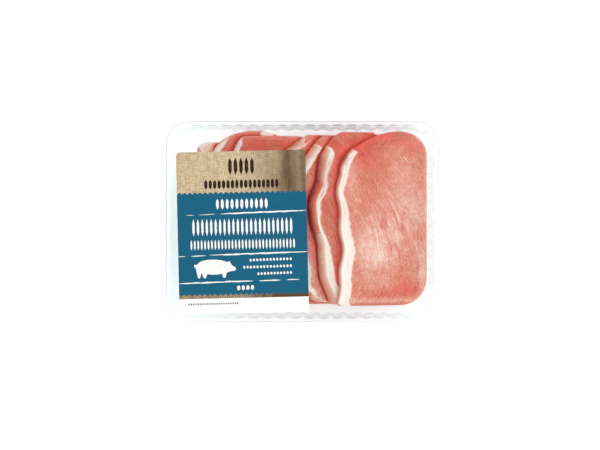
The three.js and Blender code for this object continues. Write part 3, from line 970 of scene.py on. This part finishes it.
# %% Heights and marks
RELIEF = 0.25 * MM
FURROW = 0.3 * MM
CREST = 0.3 * MM  # the fat's upper rim stands proud by this much
CREST_WIDTH = 1.0  # millimetres
CREST_INSET = 1.0  # from the pale upper rim to the lean
CREST_LEAST = 0.6  # the least share of the edge's roll that lies outside the crest
SHADE_LEAST = 2.0  # the narrowest that the fat's shaded side gets, in millimetres
LUMPS = ((17.0, 1.0), (6.0, 0.5))  # size in millimetres, and share
FIBRE_WIDTH, FIBRE_LENGTH = 2.1, 15.0  # millimetres
FIBRE_LAYERS = ((1.0, 1.0, 1.0), (2.2, 1.6, 0.6))  # finer across and along, and share
STREAK = (0.15, 0.4, 1.0)  # how strongly fibres show: least, on a plain slice, and most
WOBBLE = 2.5  # a mark's outline wanders by this much, in millimetres
WOBBLE_SIZE = 8.0
SEEDS_A_SLICE = 11.0
STEEPEST = 2  # the fat edge's slope, as far as the rounding follows it
TONE_OF_LUMPS = 0.3
TONE_OF_FIBRES = 0.9
# Tone near the foot and along the right edge: paler a little above the foot, darker at the foot
# itself, and a painted highlight along the right edge, which faces the lamp.
PALE_NEAR_FOOT = (0.9, 4.5, 2.0)  # strength, distance from the foot, and reach
DARK_FOOT = (2.4, 0.8)  # strength and reach
RIGHT_EDGE_HIGHLIGHT = (0.7, 2.2)
MARKS = {  # the marks that a mesh stores, and the part of the wobble that they take
    "tone": (TONE_AND_LIGHT_MARKS, 1), "marble": (FAT_MARKS, 0.25), "flesh": (FLESH_MARKS, 1),
    "cloudy": (CLOUDY_MARKS, 1), "flush": (FLUSH_AND_SHADE_MARKS, 1)}


def fibres_at(x, y, seed):
    """Fibre noise, and how far across the fibres each point lies."""
    across = fibre_place(x, y)
    threads = sum(
        share * noise_field(across / FIBRE_WIDTH * finer, y / FIBRE_LENGTH * shorter, 1.0, seed + i)
        for i, (finer, shorter, share) in enumerate(FIBRE_LAYERS))
    return threads, across


def sheets(chop, x, y, left):
    """Heights of both sheets at points x, y, in metres, and the marks there."""
    number, roll = chop["number"], chop["roll"]
    seed = number * SEEDS_A_SLICE
    slope = np.clip(left_edge(chop, np.minimum(y + 0.5, chop["top"]))
                    - left_edge(chop, np.maximum(y - 0.5, chop["bottom"])), -STEEPEST, STEEPEST)
    from_left = (x - left) / np.hypot(1, slope)
    from_right = right_edge(chop, y) - x
    from_foot = y - chop["bottom"]
    ends = np.minimum(from_foot, chop["top"] - y)
    over = (quarter_round(from_left, roll) * quarter_round(from_right * MM, RIM)
            * quarter_round(ends * MM, RIM))
    under = quarter_round(np.minimum(np.minimum(x - left, from_right), ends) * MM, UNDER_RIM)

    lumps = sum(share * noise_field(x, y, size, seed + i) for i, (size, share) in enumerate(LUMPS))
    shift_x, shift_y = (WOBBLE * noise_field(x, y, WOBBLE_SIZE, seed + i) for i in (2, 3))
    threads, across = fibres_at(x, y, seed + 4)
    streak = marked(FIBRE_MARKS, x, y, shift_x, shift_y) if number == 0 else STREAK[1]
    streak = np.clip(np.broadcast_to(streak, x.shape), STREAK[0], STREAK[2])
    inner = fat_width(chop, y) - CREST_INSET
    rim = np.minimum(np.maximum(inner, CREST_LEAST * roll), roll)
    crest = np.exp(-((from_left - rim) / CREST_WIDTH) ** 2) * (y < chop["tip"])

    base = underside(chop, x)
    top = base + SEAM + (CHOP_THICKNESS - SEAM) * over
    top = top + over * (RELIEF * lumps + FURROW * threads * streak + CREST * crest)
    bottom = base + SEAM * (1 - under)

    marks = {name: marked(table.get(number, []), x, y, part * shift_x, part * shift_y)
             for name, (table, part) in MARKS.items()}
    marks["tone"] += (chop["tone"] + TONE_OF_LUMPS * lumps + TONE_OF_FIBRES * threads * streak
                      + PALE_NEAR_FOOT[0] * np.exp(-((from_foot - PALE_NEAR_FOOT[1]) / PALE_NEAR_FOOT[2]) ** 2)
                      - DARK_FOOT[0] * np.exp(-from_foot / DARK_FOOT[1])
                      + RIGHT_EDGE_HIGHLIGHT[0] * np.exp(-from_right / RIGHT_EDGE_HIGHLIGHT[1]))
    # how far the fat's painted shade reaches in from its outer edge
    reach = np.minimum(stepped(y, chop["shade"], SHADE_STEP), np.maximum(inner, SHADE_LEAST))
    marks |= {
        "streak": streak,
        "crest": crest,
        "crease": under_next(chop, x, y),
        "shade": np.clip(1 - from_left / reach, 0, 1),
        "fibre": np.stack([across * MM, y * MM, top], axis=-1),
    }
    return top, bottom, marks


print("marks from tables:", ", ".join(MARKS))

# %% [markdown]
# Now the two sheets of points become one closed mesh. The faces wind the other
# way on the lower sheet, so that all of them point outwards, and a strip along
# the outline joins the two. Where the rim is rounded down to nothing, the points
# of both sheets fall together and are merged.

# %% Lean and fat as meshes
FAT_STEPS = 20
SEAM_BLUR = 1.5  # millimetres over which fat and lean blend
PAST_TIP = 1  # and how far past the fat's tip they still do
MERGE = 0.002 * MM
SHARP = 60  # degrees: only the lower rim of a slice is crisper
LEAN_LEAST, LEAN_MOST = 12, 8  # what the width of the lean is short of the slice's


def closed_grid(name, x, y, top, bottom, marks, material):
    """Welds an upper and a lower sheet of points into one closed mesh."""
    rows, columns = x.shape
    below = rows * columns
    upper = np.stack([x * MM, y * MM, top], axis=-1).reshape(-1, 3)
    lower = np.stack([x * MM, y * MM, bottom], axis=-1).reshape(-1, 3)
    at = np.arange(below).reshape(rows, columns)
    a, b, c, d = at[:-1, :-1], at[:-1, 1:], at[1:, 1:], at[1:, :-1]
    up = np.stack([a, b, c, d], axis=-1).reshape(-1, 4)
    down = np.stack([d, c, b, a], axis=-1).reshape(-1, 4) + below
    outline = np.concatenate([at[0, :-1], at[:-1, -1], at[-1, :0:-1], at[:0:-1, 0]])
    onward = np.roll(outline, -1)
    side = np.stack([outline + below, onward + below, onward, outline], axis=-1)
    faces = np.concatenate([up, down, side])
    piece = new_piece(name, np.concatenate([upper, lower]), faces.tolist(), material)
    for label, values in marks.items():
        vector = values.ndim == 2
        layer = piece.data.attributes.new(label, "FLOAT_VECTOR" if vector else "FLOAT", "POINT")
        layer.data.foreach_set("vector" if vector else "value", np.tile(np.ravel(values), 2))
    weld = bmesh.new()
    weld.from_mesh(piece.data)
    bmesh.ops.remove_doubles(weld, verts=weld.verts, dist=MERGE)
    bmesh.ops.recalc_face_normals(weld, faces=weld.faces)
    weld.to_mesh(piece.data)
    weld.free()
    return smooth(piece, SHARP)


def make_part(name, chop, rows, first, last, shares, material):
    """One grid of a slice, between two edges given for each row."""
    x = first[:, None] + (last - first)[:, None] * shares
    y, left, width = (np.repeat(values[:, None], x.shape[1], axis=1)
                      for values in (rows, left_edge(chop, rows), fat_width(chop, rows)))
    top, bottom, marks = sheets(chop, x.ravel(), y.ravel(), left.ravel())
    seam = np.exp(-np.abs(x - left - width) / SEAM_BLUR) * (y < chop["tip"] + PAST_TIP)
    marks["seam"] = seam.ravel()
    return closed_grid(name, x, y, top.reshape(x.shape), bottom.reshape(x.shape), marks, material)


def make_slice(chop, lean_finish, fat_finish):
    """The lean and the fat of one slice."""
    name = f"slice_{chop['number'] + 1}"
    spacing = COARSE if chop["number"] else FINE
    rows = rows_of(chop, spacing, chop["top"])
    boundary = left_edge(chop, rows) + fat_width(chop, rows)
    plain = int((chop["width"] - LEAN_LEAST) / spacing)
    rim = 1 - RIM / MM / (chop["width"] - LEAN_MOST)
    shares = np.unique(np.concatenate([np.linspace(0, rim, plain), crowded(1, rim, RIM_STEPS)]))
    lean = make_part(name + "_lean", chop, rows, boundary, right_edge(chop, rows), shares,
                     lean_finish)
    rows = rows_of(chop, spacing, chop["tip"])
    edge = left_edge(chop, rows)
    fat = make_part(name + "_fat", chop, rows, edge, edge + fat_width(chop, rows),
                    crowded_both(FAT_STEPS), fat_finish)
    return lean, fat


print("the fat has", FAT_STEPS, "columns, closest together at its two edges")

# %% [markdown]
# ## Lean, as a shader
#
# The lean's colour runs from a deep wet red through salmon to a dry pale pink.
# The stored tone picks the place on that run, and noise at the size of muscle
# fibres breaks it up. Where a slice lies over it, the crease is painted dark red:
# painted shade for the shadow of the slice on top. A little light goes into raw
# meat and comes out redder, which is what the subsurface sockets are for.

# %% Lean
LEAN_COLOURS = (  # from the deepest tone to the palest
    (0.0, 170, 46, 36), (0.25, 197, 90, 74), (0.5, 211, 128, 108), (0.75, 224, 168, 150),
    (1.0, 238, 206, 192))
FLUSH = srgb(234, 92, 78)
# CREASE and CREASE_DEEP paint the shade beside the slice on top.
CREASE = srgb(238, 92, 72)
CREASE_DEEP = srgb(150, 30, 20)
MARBLE = srgb(252, 236, 224)
SEAM_PALE = srgb(248, 216, 200)
GRAIN = 0.9 * MM  # sizes of the lumps in the noise
GLINT = 1.3 * MM
THREAD = 1.6 * MM
BLOTCH = 5 * MM
MIDDLE_TONE = 0.5  # where plain lean lies on its run of colours
TONE_STEP = 0.22  # and how far one unit of tone moves it
RELIEF_DEPTH = 0.3 * MM


def ramp(tree, value, colours):
    """A colour run through the given stops."""
    made = node(tree, "ShaderNodeValToRGB", {"Fac": value})
    stops = made.color_ramp.elements
    while len(stops) < len(colours):
        stops.new(0.5)
    for stop, (place, *colour) in zip(stops, colours):
        stop.position = place
        stop.color = srgb(*colour)
    return made.outputs[0]


def laid(tree, under, over, mark, ragged, low, high, most=1.0):
    """One colour laid over another where a mark is strong, with a ragged edge."""
    return mixed(tree, ranged(tree, total(tree, mark, ragged), low, high, 0.0, most), under, over)


def lean_material():
    material, tree = new_material("raw lean")
    place = object_place(tree)
    grain = speckle(tree, GRAIN, place, detail=4, rough=0.6)
    threads = speckle(tree, THREAD, attribute(tree, "fibre", "Vector"), detail=3,
                      stretch=(1, 0.16, 0.2))
    blotch = speckle(tree, BLOTCH, place, detail=3)
    glint = speckle(tree, GLINT, place, detail=3, stretch=(1, 0.45, 1), turn=0.5)
    ragged = swing(tree, grain, -0.25, 0.25)
    fibrous = product(tree, swing(tree, threads, -0.15, 0.17),
                      ranged(tree, attribute(tree, "streak"), 0.15, 0.8, 0.3, 1.0))
    tone = total(
        tree, math_node(tree, "MULTIPLY_ADD", attribute(tree, "tone"), TONE_STEP, MIDDLE_TONE),
        ranged(tree, grain, 0.35, 0.65, -0.11, 0.13), swing(tree, blotch, -0.06, 0.06),
        ranged(tree, glint, 0.45, 0.75, -0.03, 0.14), fibrous)
    colour = ramp(tree, tone, LEAN_COLOURS)
    flush = math_node(tree, "MULTIPLY", attribute(tree, "flush"), swing(tree, blotch, 0.6, 1.1),
                      clamp=True)
    colour = mixed(tree, flush, colour, FLUSH)
    colour = laid(tree, colour, SEAM_PALE, attribute(tree, "seam"), ragged, 0.35, 1.15, most=0.8)
    # painted shade in the crease beside the slice on top
    crease_shade = product(tree, attribute(tree, "crease"), swing(tree, blotch, 0.8, 1.0))
    colour = mixed(tree, crease_shade, colour, CREASE)
    colour = mixed(tree, ranged(tree, crease_shade, 0.5, 1.0, 0.0, 0.7), colour, CREASE_DEEP)
    colour = laid(tree, colour, MARBLE, attribute(tree, "marble"), ragged, 0.35, 0.75)
    painted(tree, {
        "Base Color": colour,
        "Roughness": swing(tree, blotch, 0.34, 0.5),
        "Normal": bumped(tree, total(tree, grain, threads), 0.4, RELIEF_DEPTH),
        "Specular IOR Level": 0.2,
        "Subsurface Weight": 0.15,
        "Subsurface Radius": (0.005, 0.0014, 0.001)})
    return material


raw_lean = lean_material()
print("material:", raw_lean.name)

# %% [markdown]
# ## Fat, as a shader
#
# The fat is creamy white, with a painted highlight along its crest. Where it
# rolls down at its edge it is painted darker and warmer: painted shade, because
# that side turns from the lamp, and warmer because less and less of it lies over
# the lean there. In places it is cloudy, and in places so thin that the flesh
# shows through, so it has three runs of colour from the crest to the edge, each
# darkening with that painted shade, and the stored marks choose between them.

# %% Fat
# Painted shade: each run darkens from the crest to the outer edge, on the side that turns from the
# lamp.
FAT_COLOURS = (  # from the crest down to the outer edge
    (0.0, 241, 232, 222), (0.2, 233, 212, 197), (0.4, 227, 191, 170), (0.6, 219, 168, 144),
    (0.75, 216, 153, 131), (0.9, 218, 136, 115), (1.0, 218, 102, 86))
CLOUDY_COLOURS = (
    (0.0, 230, 200, 186), (0.3, 210, 166, 150), (0.55, 200, 126, 110), (0.8, 184, 96, 84),
    (1.0, 170, 70, 60))
FLESH_COLOURS = (
    (0.0, 218, 136, 112), (0.4, 208, 116, 92), (0.7, 188, 80, 60), (1.0, 160, 50, 36))
CREST_HIGHLIGHT = srgb(250, 245, 237)
FAT_PINK = srgb(240, 190, 172)
CLOUD = 4 * MM


def fat_material():
    material, tree = new_material("raw fat")
    place = object_place(tree)
    grain = speckle(tree, GRAIN, place, detail=4)
    cloud = speckle(tree, CLOUD, place, detail=3)
    ragged = ranged(tree, grain, 0.35, 0.65, -0.2, 0.2)
    side = attribute(tree, "shade")
    shade = total(tree, side, swing(tree, cloud, -0.1, 0.1))
    cloudy = total(tree, attribute(tree, "cloudy"), ragged)
    colour = mixed(tree, ranged(tree, cloudy, 0.35, 0.9, 0.0, 0.85),
                   ramp(tree, shade, FAT_COLOURS), ramp(tree, shade, CLOUDY_COLOURS))
    flesh = product(tree, attribute(tree, "flesh"), ranged(tree, side, 0.02, 0.2))
    colour = laid(tree, colour, ramp(tree, shade, FLESH_COLOURS), flesh, ragged, 0.5, 0.8)
    colour = laid(tree, colour, FAT_PINK, attribute(tree, "seam"), ragged, 0.75, 1.2, most=0.7)
    # a painted highlight along the fat's crest
    painted_highlight = product(tree, attribute(tree, "crest"), swing(tree, cloud, 0.6, 1.0),
                     ranged(tree, cloudy, 0.35, 0.9, 1.0, 0.35))
    painted(tree, {
        "Base Color": mixed(tree, painted_highlight, colour, CREST_HIGHLIGHT),
        "Roughness": swing(tree, cloud, 0.36, 0.52),
        "Normal": bumped(tree, grain, 0.35, RELIEF_DEPTH),
        "Specular IOR Level": 0.25,
        "Subsurface Weight": 0.15,
        "Subsurface Radius": (0.004, 0.002, 0.0015)})
    return material


raw_fat = fat_material()
print("material:", raw_fat.name)

# %% [markdown]
# With the numbers, the grids and the two finishes in place, the slices are one
# short loop. Each lean and each fat stands for the CAD node of its own.

# %% The seven slices
for chop in CHOPS:
    lean, fat = make_slice(chop, raw_lean, raw_fat)
    finish_piece(lean, "raw_lean", f"chop_{chop['number'] + 1}_lean")
    finish_piece(fat, "raw_fat", f"chop_{chop['number'] + 1}_fat")
    print(lean.name, len(lean.data.polygons), "faces;", fat.name, len(fat.data.polygons))

# %% [markdown]
# ## The label
#
# The label is one sheet of paper on the film. Its fields of print meet along
# straight lines and along zigzags, like cloth cut with pinking shears. If the
# mesh has a column for each half tooth, every field is a row of faces with a
# material of its own, and each border is as crisp as a printed one.

# %% Label: sizes and place
LABEL_SIZE = Vector((103.5, 129.5))  # millimetres
LABEL_CENTRE = Vector((-48.0, -8.4)) * MM
LABEL_TURN = math.radians(1.3)
label_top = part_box("label")[1].z


def to_label(piece, lift=0.0):
    """Carries a flat mesh from label millimetres to its place on the lid."""
    cos, sin = math.cos(LABEL_TURN), math.sin(LABEL_TURN)
    for vertex in piece.data.vertices:
        u, v, w = vertex.co
        vertex.co = (LABEL_CENTRE.x + (u * cos - v * sin) * MM,
                     LABEL_CENTRE.y + (u * sin + v * cos) * MM,
                     label_top + lift + w * MM)
    piece.data.update()
    return piece


print("label", tuple(LABEL_SIZE), "mm, its face at", round(label_top / MM, 2), "mm")

# %% [markdown]
# The print has three grounds, rough sacking, blue-green ink and bare paper, and
# shapes in three more inks. Ink is flat, a little uneven, and worn through in
# specks. All its patterns read object coordinates, turned with the label by a
# Mapping node.

# %% Inks
PAPER = srgb(252, 252, 251)
PAPER_GREY = srgb(247, 247, 246)
BLACK = srgb(70, 68, 68)
TEAL = srgb(20, 92, 120)
TEAL_WORN = srgb(26, 100, 130)
SACK_DARK = srgb(184, 162, 128)
CREAM = srgb(252, 246, 240)
BROWN = srgb(48, 26, 18)
MOTTLE = 3 * MM  # sizes of the lumps in the ink, of its scuffs and of the paper's grain
SCUFF = 1.5 * MM
PAPER_GRAIN = 0.5 * MM
WORN_SPAN = (0.62, 0.72)  # the noise at which ink begins to go, and is gone


def label_place(tree):
    """Coordinates in metres from the label's middle, turned with it."""
    centre = (LABEL_CENTRE.x, LABEL_CENTRE.y, label_top)
    return node(tree, "ShaderNodeMapping",
                {"Vector": object_place(tree), "Location": centre, "Rotation": (0, 0, LABEL_TURN)},
                vector_type="TEXTURE").outputs[0]


def printed(name, ink, worn, wear=0.0):
    """Flat ink on paper, a little uneven, and worn through where the noise is high."""
    material, tree = new_material(name)
    place = label_place(tree)
    mottle = speckle(tree, MOTTLE, place, detail=4)
    if wear:
        scuff = speckle(tree, SCUFF, place, detail=5, rough=0.7)
        share = ranged(tree, scuff, *(edge - wear for edge in WORN_SPAN))
    else:
        share = ranged(tree, mottle, 0.35, 0.75, 0, 0.6)
    painted(tree, {
        "Base Color": mixed(tree, share, ink, worn),
        "Roughness": swing(tree, mottle, 0.42, 0.6),
        "Normal": bumped(tree, speckle(tree, PAPER_GRAIN, place, detail=3), 0.25, 0.05 * MM),
        "Specular IOR Level": 0.1})
    return material


bare_paper = printed("bare paper", PAPER, PAPER_GREY)
teal_ink = printed("teal ink", TEAL, TEAL_WORN)
cream_ink = printed("cream ink", CREAM, TEAL, wear=0.05)
brown_ink = printed("brown ink", BROWN, SACK_DARK, wear=0.02)
black_ink = printed("black ink", BLACK, PAPER, wear=0.04)
print("label inks: bare paper, teal, cream, brown and black")

# %% [markdown]
# The sacking is two sets of threads, one upright and one level: the same noise,
# stretched one way and the other and added up. It is stained darker towards the
# right and on the lower strip, with one soft fold near the right end.

# %% Sacking
SACK_LIGHT = srgb(216, 196, 162)
STAIN = srgb(92, 66, 44)
SACK_THREAD = 0.8 * MM
LONG = 0.14  # along a thread, the noise is slowed to this
FOLD = 6 * MM
STAIN_SIDE = (0, 42 * MM, 0.0, 0.74)  # across: from, to, and how stained at the two
STAIN_FOOT = (-48 * MM, -44 * MM, 0.55, 0.0)  # up
SMUDGE = 36 * MM  # the fold's place and width
SMUDGE_WIDTH = 3 * MM


def sacking():
    material, tree = new_material("sacking print")
    place = label_place(tree)
    upright = speckle(tree, SACK_THREAD, place, detail=3, stretch=(1, LONG, 1))
    flat = speckle(tree, SACK_THREAD, place, detail=3, stretch=(LONG, 1, 1))
    folds = speckle(tree, FOLD, place, detail=3, stretch=(1, 0.12, 1))
    weave = ranged(tree, total(tree, upright, flat), 0.75, 1.25)
    across, height = node(tree, "ShaderNodeSeparateXYZ", {"Vector": place}).outputs[:2]
    off = math_node(tree, "DIVIDE", math_node(tree, "SUBTRACT", across, SMUDGE), SMUDGE_WIDTH)
    smudge = product(tree, math_node(tree, "EXPONENT", product(tree, off, off, -1.0)),
                     ranged(tree, folds, 0.35, 0.7, 0.1, 0.45))
    stained = total(tree, ranged(tree, across, *STAIN_SIDE), ranged(tree, height, *STAIN_FOOT),
                    swing(tree, folds, -0.14, 0.18))
    stained = math_node(tree, "ADD", stained, smudge, clamp=True)
    cloth = mixed(tree, ranged(tree, weave, 0.2, 0.9), SACK_DARK, SACK_LIGHT)
    painted(tree, {
        "Base Color": mixed(tree, stained, cloth, STAIN),
        "Roughness": ranged(tree, weave, 0, 1, 0.6, 0.45),
        "Normal": bumped(tree, weave, 0.2, 0.08 * MM),
        "Specular IOR Level": 0.1})
    return material


sack_print = sacking()
print("material:", sack_print.name)

# %% [markdown]
# The sheet's columns stand half a tooth apart, so a zigzag only lifts every
# second point of a row. Rows and columns are in the label's own millimetres,
# from its middle, and one function carries the finished mesh to its place.

# %% The label's sheet
LABEL_CORNER = 3.0
FOOT_CORNER = 0.4  # the lower corners are cut off by this share of that
LABEL_THICKNESS = 0.2 * MM
PRINT_ROOM = 0.06 * MM  # kept free above the paper for the printed shapes
TEETH = 25
TOOTH_HEIGHT = 1.7
BAND_DEPTH = 32.2  # sacking, from the top edge to the zigzag
STRIP_TOP = 15.8  # the lower strip of sacking, from the bottom edge
STRIP_BOTTOM = 12.1
BARE, SACK, INKED = range(3)
GROUNDS = (BARE, SACK, INKED, SACK)  # from the foot up


def label_columns():
    """U of each column, one for each half tooth and more at the round corners."""
    half = LABEL_SIZE.x / 2
    teeth = np.linspace(-half, half, 2 * TEETH + 1)
    corner = LABEL_CORNER * (1 - np.cos(np.linspace(0, np.pi / 2, 6)))
    return np.unique(np.round(np.concatenate([teeth, corner - half, half - corner]), 4))


def label_rows(columns):
    """V of the borders between the fields, column by column, from the foot up."""
    half = LABEL_SIZE / 2
    tooth = LABEL_SIZE.x / TEETH
    zigzag = TOOTH_HEIGHT * np.abs(2 * (((columns + half.x) / tooth) % 1) - 1)
    into_corner = np.clip(1 - (half.x - np.abs(columns)) / LABEL_CORNER, 0, 1)
    corner = LABEL_CORNER * (1 - np.sqrt(1 - into_corner ** 2))
    return [
        -half.y + FOOT_CORNER * corner,
        np.full_like(columns, STRIP_BOTTOM - half.y),
        STRIP_TOP - half.y - TOOTH_HEIGHT + zigzag,
        half.y - BAND_DEPTH - zigzag,
        half.y - corner,
    ]


columns = label_columns()
vertices = [(u, v, 0.0) for row in label_rows(columns) for u, v in zip(columns, row)]
faces, grounds = [], []
for row, ground in enumerate(GROUNDS):
    for low in range(row * len(columns), (row + 1) * len(columns) - 1):
        faces.append((low, low + 1, low + 1 + len(columns), low + len(columns)))
        grounds.append(ground)
label = new_piece("label_sheet", vertices, faces, bare_paper, sack_print, teal_ink)
label.data.polygons.foreach_set("material_index", grounds)
to_label(label, lift=-PRINT_ROOM)
thicken(label, LABEL_THICKNESS - PRINT_ROOM)
finish_piece(label, "label_paper", "label")
print(label.name, "has", len(label.data.polygons), "faces in 3 inks")

# %% [markdown]
# ## Print in rows, with Geometry Nodes
#
# The label is dressed with rows of plain beads, six-sided and longer than they
# are wide. One small tree makes every row. It sets out points at an even step
# along a line, puts a six-sided face on each, and stretches it to size. Count,
# start, step, size and ink are its inputs, so a new row costs one line.

# %% The row tree
BEAD_SIDES = 6
UPRIGHT = (0.0, 0.0, math.pi / 2)  # turns a bead onto its point

row_tree, given = new_tree("printed row", count="Int", start="Vector", step="Vector",
                           size="Vector", ink="Material")
line = node(row_tree, "GeometryNodeMeshLine", {
    "Count": given["count"], "Start Location": given["start"], "Offset": given["step"]})
shape = node(row_tree, "GeometryNodeMeshCircle",
             {"Vertices": BEAD_SIDES, "Radius": 0.5}, fill_type="NGON")
placed = node(row_tree, "GeometryNodeInstanceOnPoints", {
    "Points": line.outputs[0], "Instance": shape.outputs[0], "Rotation": UPRIGHT})
sized = node(row_tree, "GeometryNodeScaleInstances",
             {"Instances": placed.outputs[0], "Scale": given["size"]})
close_tree(row_tree, sized.outputs[0], given["ink"])


def beads(count, first, last, width, height, ink):
    """A row of long beads from the first place to the last, in label millimetres."""
    row = new_piece("row", [], [], ink)
    step = (Vector(last) - Vector(first)) / (count - 1)
    return grow(row, row_tree, count=count, start=(*first, 0.0), step=(*step, 0.0),
                size=(height, width * 2 / math.sqrt(3), 1.0), ink=ink)


print("the row tree has", len(row_tree.nodes), "nodes")

# %% [markdown]
# Not all print is beads. A rule is a long thin face with uneven edges, as worn
# print has, and a figure is a face inside an outline whose corners are cut twice
# until it looks round. Shapes of one ink are joined into one piece, laid on the
# label and given the thickness of ink.

# %% Rules, outlines and joining
INK = 0.02 * MM  # thickness of a printed shape
INK_DROP = 0.01 * MM  # how far its face lies below the top of the label's node
RULE_STEP = 1.6  # millimetres
RULE_WEAR = (0.7, 4)  # how much a rule's edge swells and thins, and over what length
RULE_TAPER = 4  # each end tapers over one part in this many
RULE_LEAST = 0.04  # share of the width that an end keeps


def joined(name, parts):
    """Several flat shapes of one ink as one piece."""
    piece = new_piece(name, [], [], *parts[0].data.materials)
    mesh = bmesh.new()
    for part in parts:
        mesh.from_mesh(part.data)
        bpy.data.objects.remove(part)
    mesh.to_mesh(piece.data)
    mesh.free()
    return piece


def flat_shape(outline, ink):
    """A flat face inside an outline, its front up."""
    return new_piece("shape", [(u, v, 0.0) for u, v in outline], [range(len(outline))], ink)


def rule(first, last, width, ink):
    """A printed line from place to place, its edges uneven and its ends tapered."""
    along = Vector(last) - Vector(first)
    steps = max(4, int(along.length / RULE_STEP))
    wear, length = RULE_WEAR
    upper, lower = [], []
    for i in range(steps + 1):
        share = i / steps
        middle = Vector(first) + along * share
        taper = min(1.0, RULE_TAPER * share, RULE_TAPER * (1 - share)) ** 0.5
        for edge, side in ((upper, 1), (lower, -1)):
            swell = 1 + wear * noise.noise(Vector((middle.x / length, middle.y + 9 * side, 0.3)))
            edge.append((middle.x, middle.y + side * width / 2 * max(taper * swell, RULE_LEAST)))
    return flat_shape(lower + upper[::-1], ink)


def rounded(outline, passes=2):
    """Chaikin's rule: each corner is cut off at a quarter of its two sides."""
    points = [Vector(p) for p in outline]
    for _ in range(passes):
        cut = []
        for here, after in zip(points, points[1:] + points[:1]):
            cut += [here.lerp(after, 0.25), here.lerp(after, 0.75)]
        points = cut
    return points


def on_label(name, parts):
    """Finishes printed shapes: joined, lifted onto the label and made solid."""
    piece = to_label(joined(name, parts), lift=-INK_DROP)
    thicken(piece, INK)
    finish_piece(piece, "label_paper")
    print(name, "has", len(piece.data.polygons), "faces")


print("a rule has a point every", RULE_STEP, "mm")

# %% [markdown]
# The ornaments stand in quiet rows: beads on the sacking, and on the blue-green
# field bands of taller and smaller beads between thin rules. Some of the rules
# are broken, as worn print is. At the lower left stands a plain pig.

# %% Rules and ornaments
RULES = (  # from, to, and width, in the label's millimetres
    ((-45, 14.1), (-38, 14.3), 0.35), ((-35, 14.4), (-21, 14.8), 0.4),
    ((-18, 14.8), (52, 16.2), 1.1), ((-52, -18.6), (-46, -18.5), 0.5),
    ((-42, -18.5), (-29, -18.2), 0.55), ((-27, -18.0), (52, -16.8), 1.1),
    ((-52, -40.2), (8, -39.2), 1.1), ((12, -39.3), (30, -39.0), 0.8),
    ((34, -38.9), (45, -38.8), 0.6),
)
BEADS = (  # count, first and last place, width and height
    (11, (-19.5, 22.6), (19.5, 22.6), 2.2, 8.6), (23, (-39.0, 4.2), (39.0, 4.2), 1.8, 13.8),
    (31, (-41.0, -9.8), (41.0, -9.8), 1.35, 8.4), (13, (6.0, -22.6), (38.0, -22.2), 1.6, 2.4),
    (15, (0.8, -28.2), (38.0, -27.8), 1.6, 2.4), (11, (12.0, -33.6), (38.0, -33.2), 1.6, 2.4),
    (4, (-4.0, -44.6), (7.0, -44.4), 2.4, 4.2),
)
DIVIDER = ((17, (-28.4, 38.4), (28.4, 38.4), 2.6, 7.8), (5, (-8.8, 52.6), (8.8, 52.6), 2.8, 14.0))
SMALL_PRINT = (22, (-44.0, -57.0), (-5.0, -56.8), 1.0, 1.9)
PIG = ((0.2, 7.6), (0.8, 4.4), (1.6, 0.0), (3.6, 0.0), (3.8, 2.6), (5.0, 4.2), (6.0, 0.0),
       (8.4, 0.0), (8.6, 3.4), (13.0, 2.6), (18.6, 2.8), (21.2, 3.6), (21.6, 0.0), (24.0, 0.0),
       (24.4, 4.0), (27.0, 5.0), (30.6, 5.4), (32.2, 6.0), (32.0, 8.2), (29.8, 9.2), (28.2, 10.8),
       (27.2, 13.6), (25.4, 12.2), (22.0, 13.8), (14.0, 14.8), (6.4, 14.2), (2.4, 12.4),
       (0.9, 10.2), (-0.6, 11.2), (-1.4, 10.0), (-0.9, 8.2), (-0.5, 9.4))
PIG_PLACE = Vector((-38.0, -36.2))

on_label("label_rules", [rule(*row, cream_ink) for row in RULES])
on_label("label_beads", [beads(*row, cream_ink) for row in BEADS])
on_label("label_pig", [flat_shape([point + PIG_PLACE for point in rounded(PIG)], cream_ink)])
on_label("label_divider", [beads(*row, brown_ink) for row in DIVIDER])
on_label("label_small_print", [beads(*SMALL_PRINT, black_ink)])
print("rules, beads, a pig and a divider are printed")
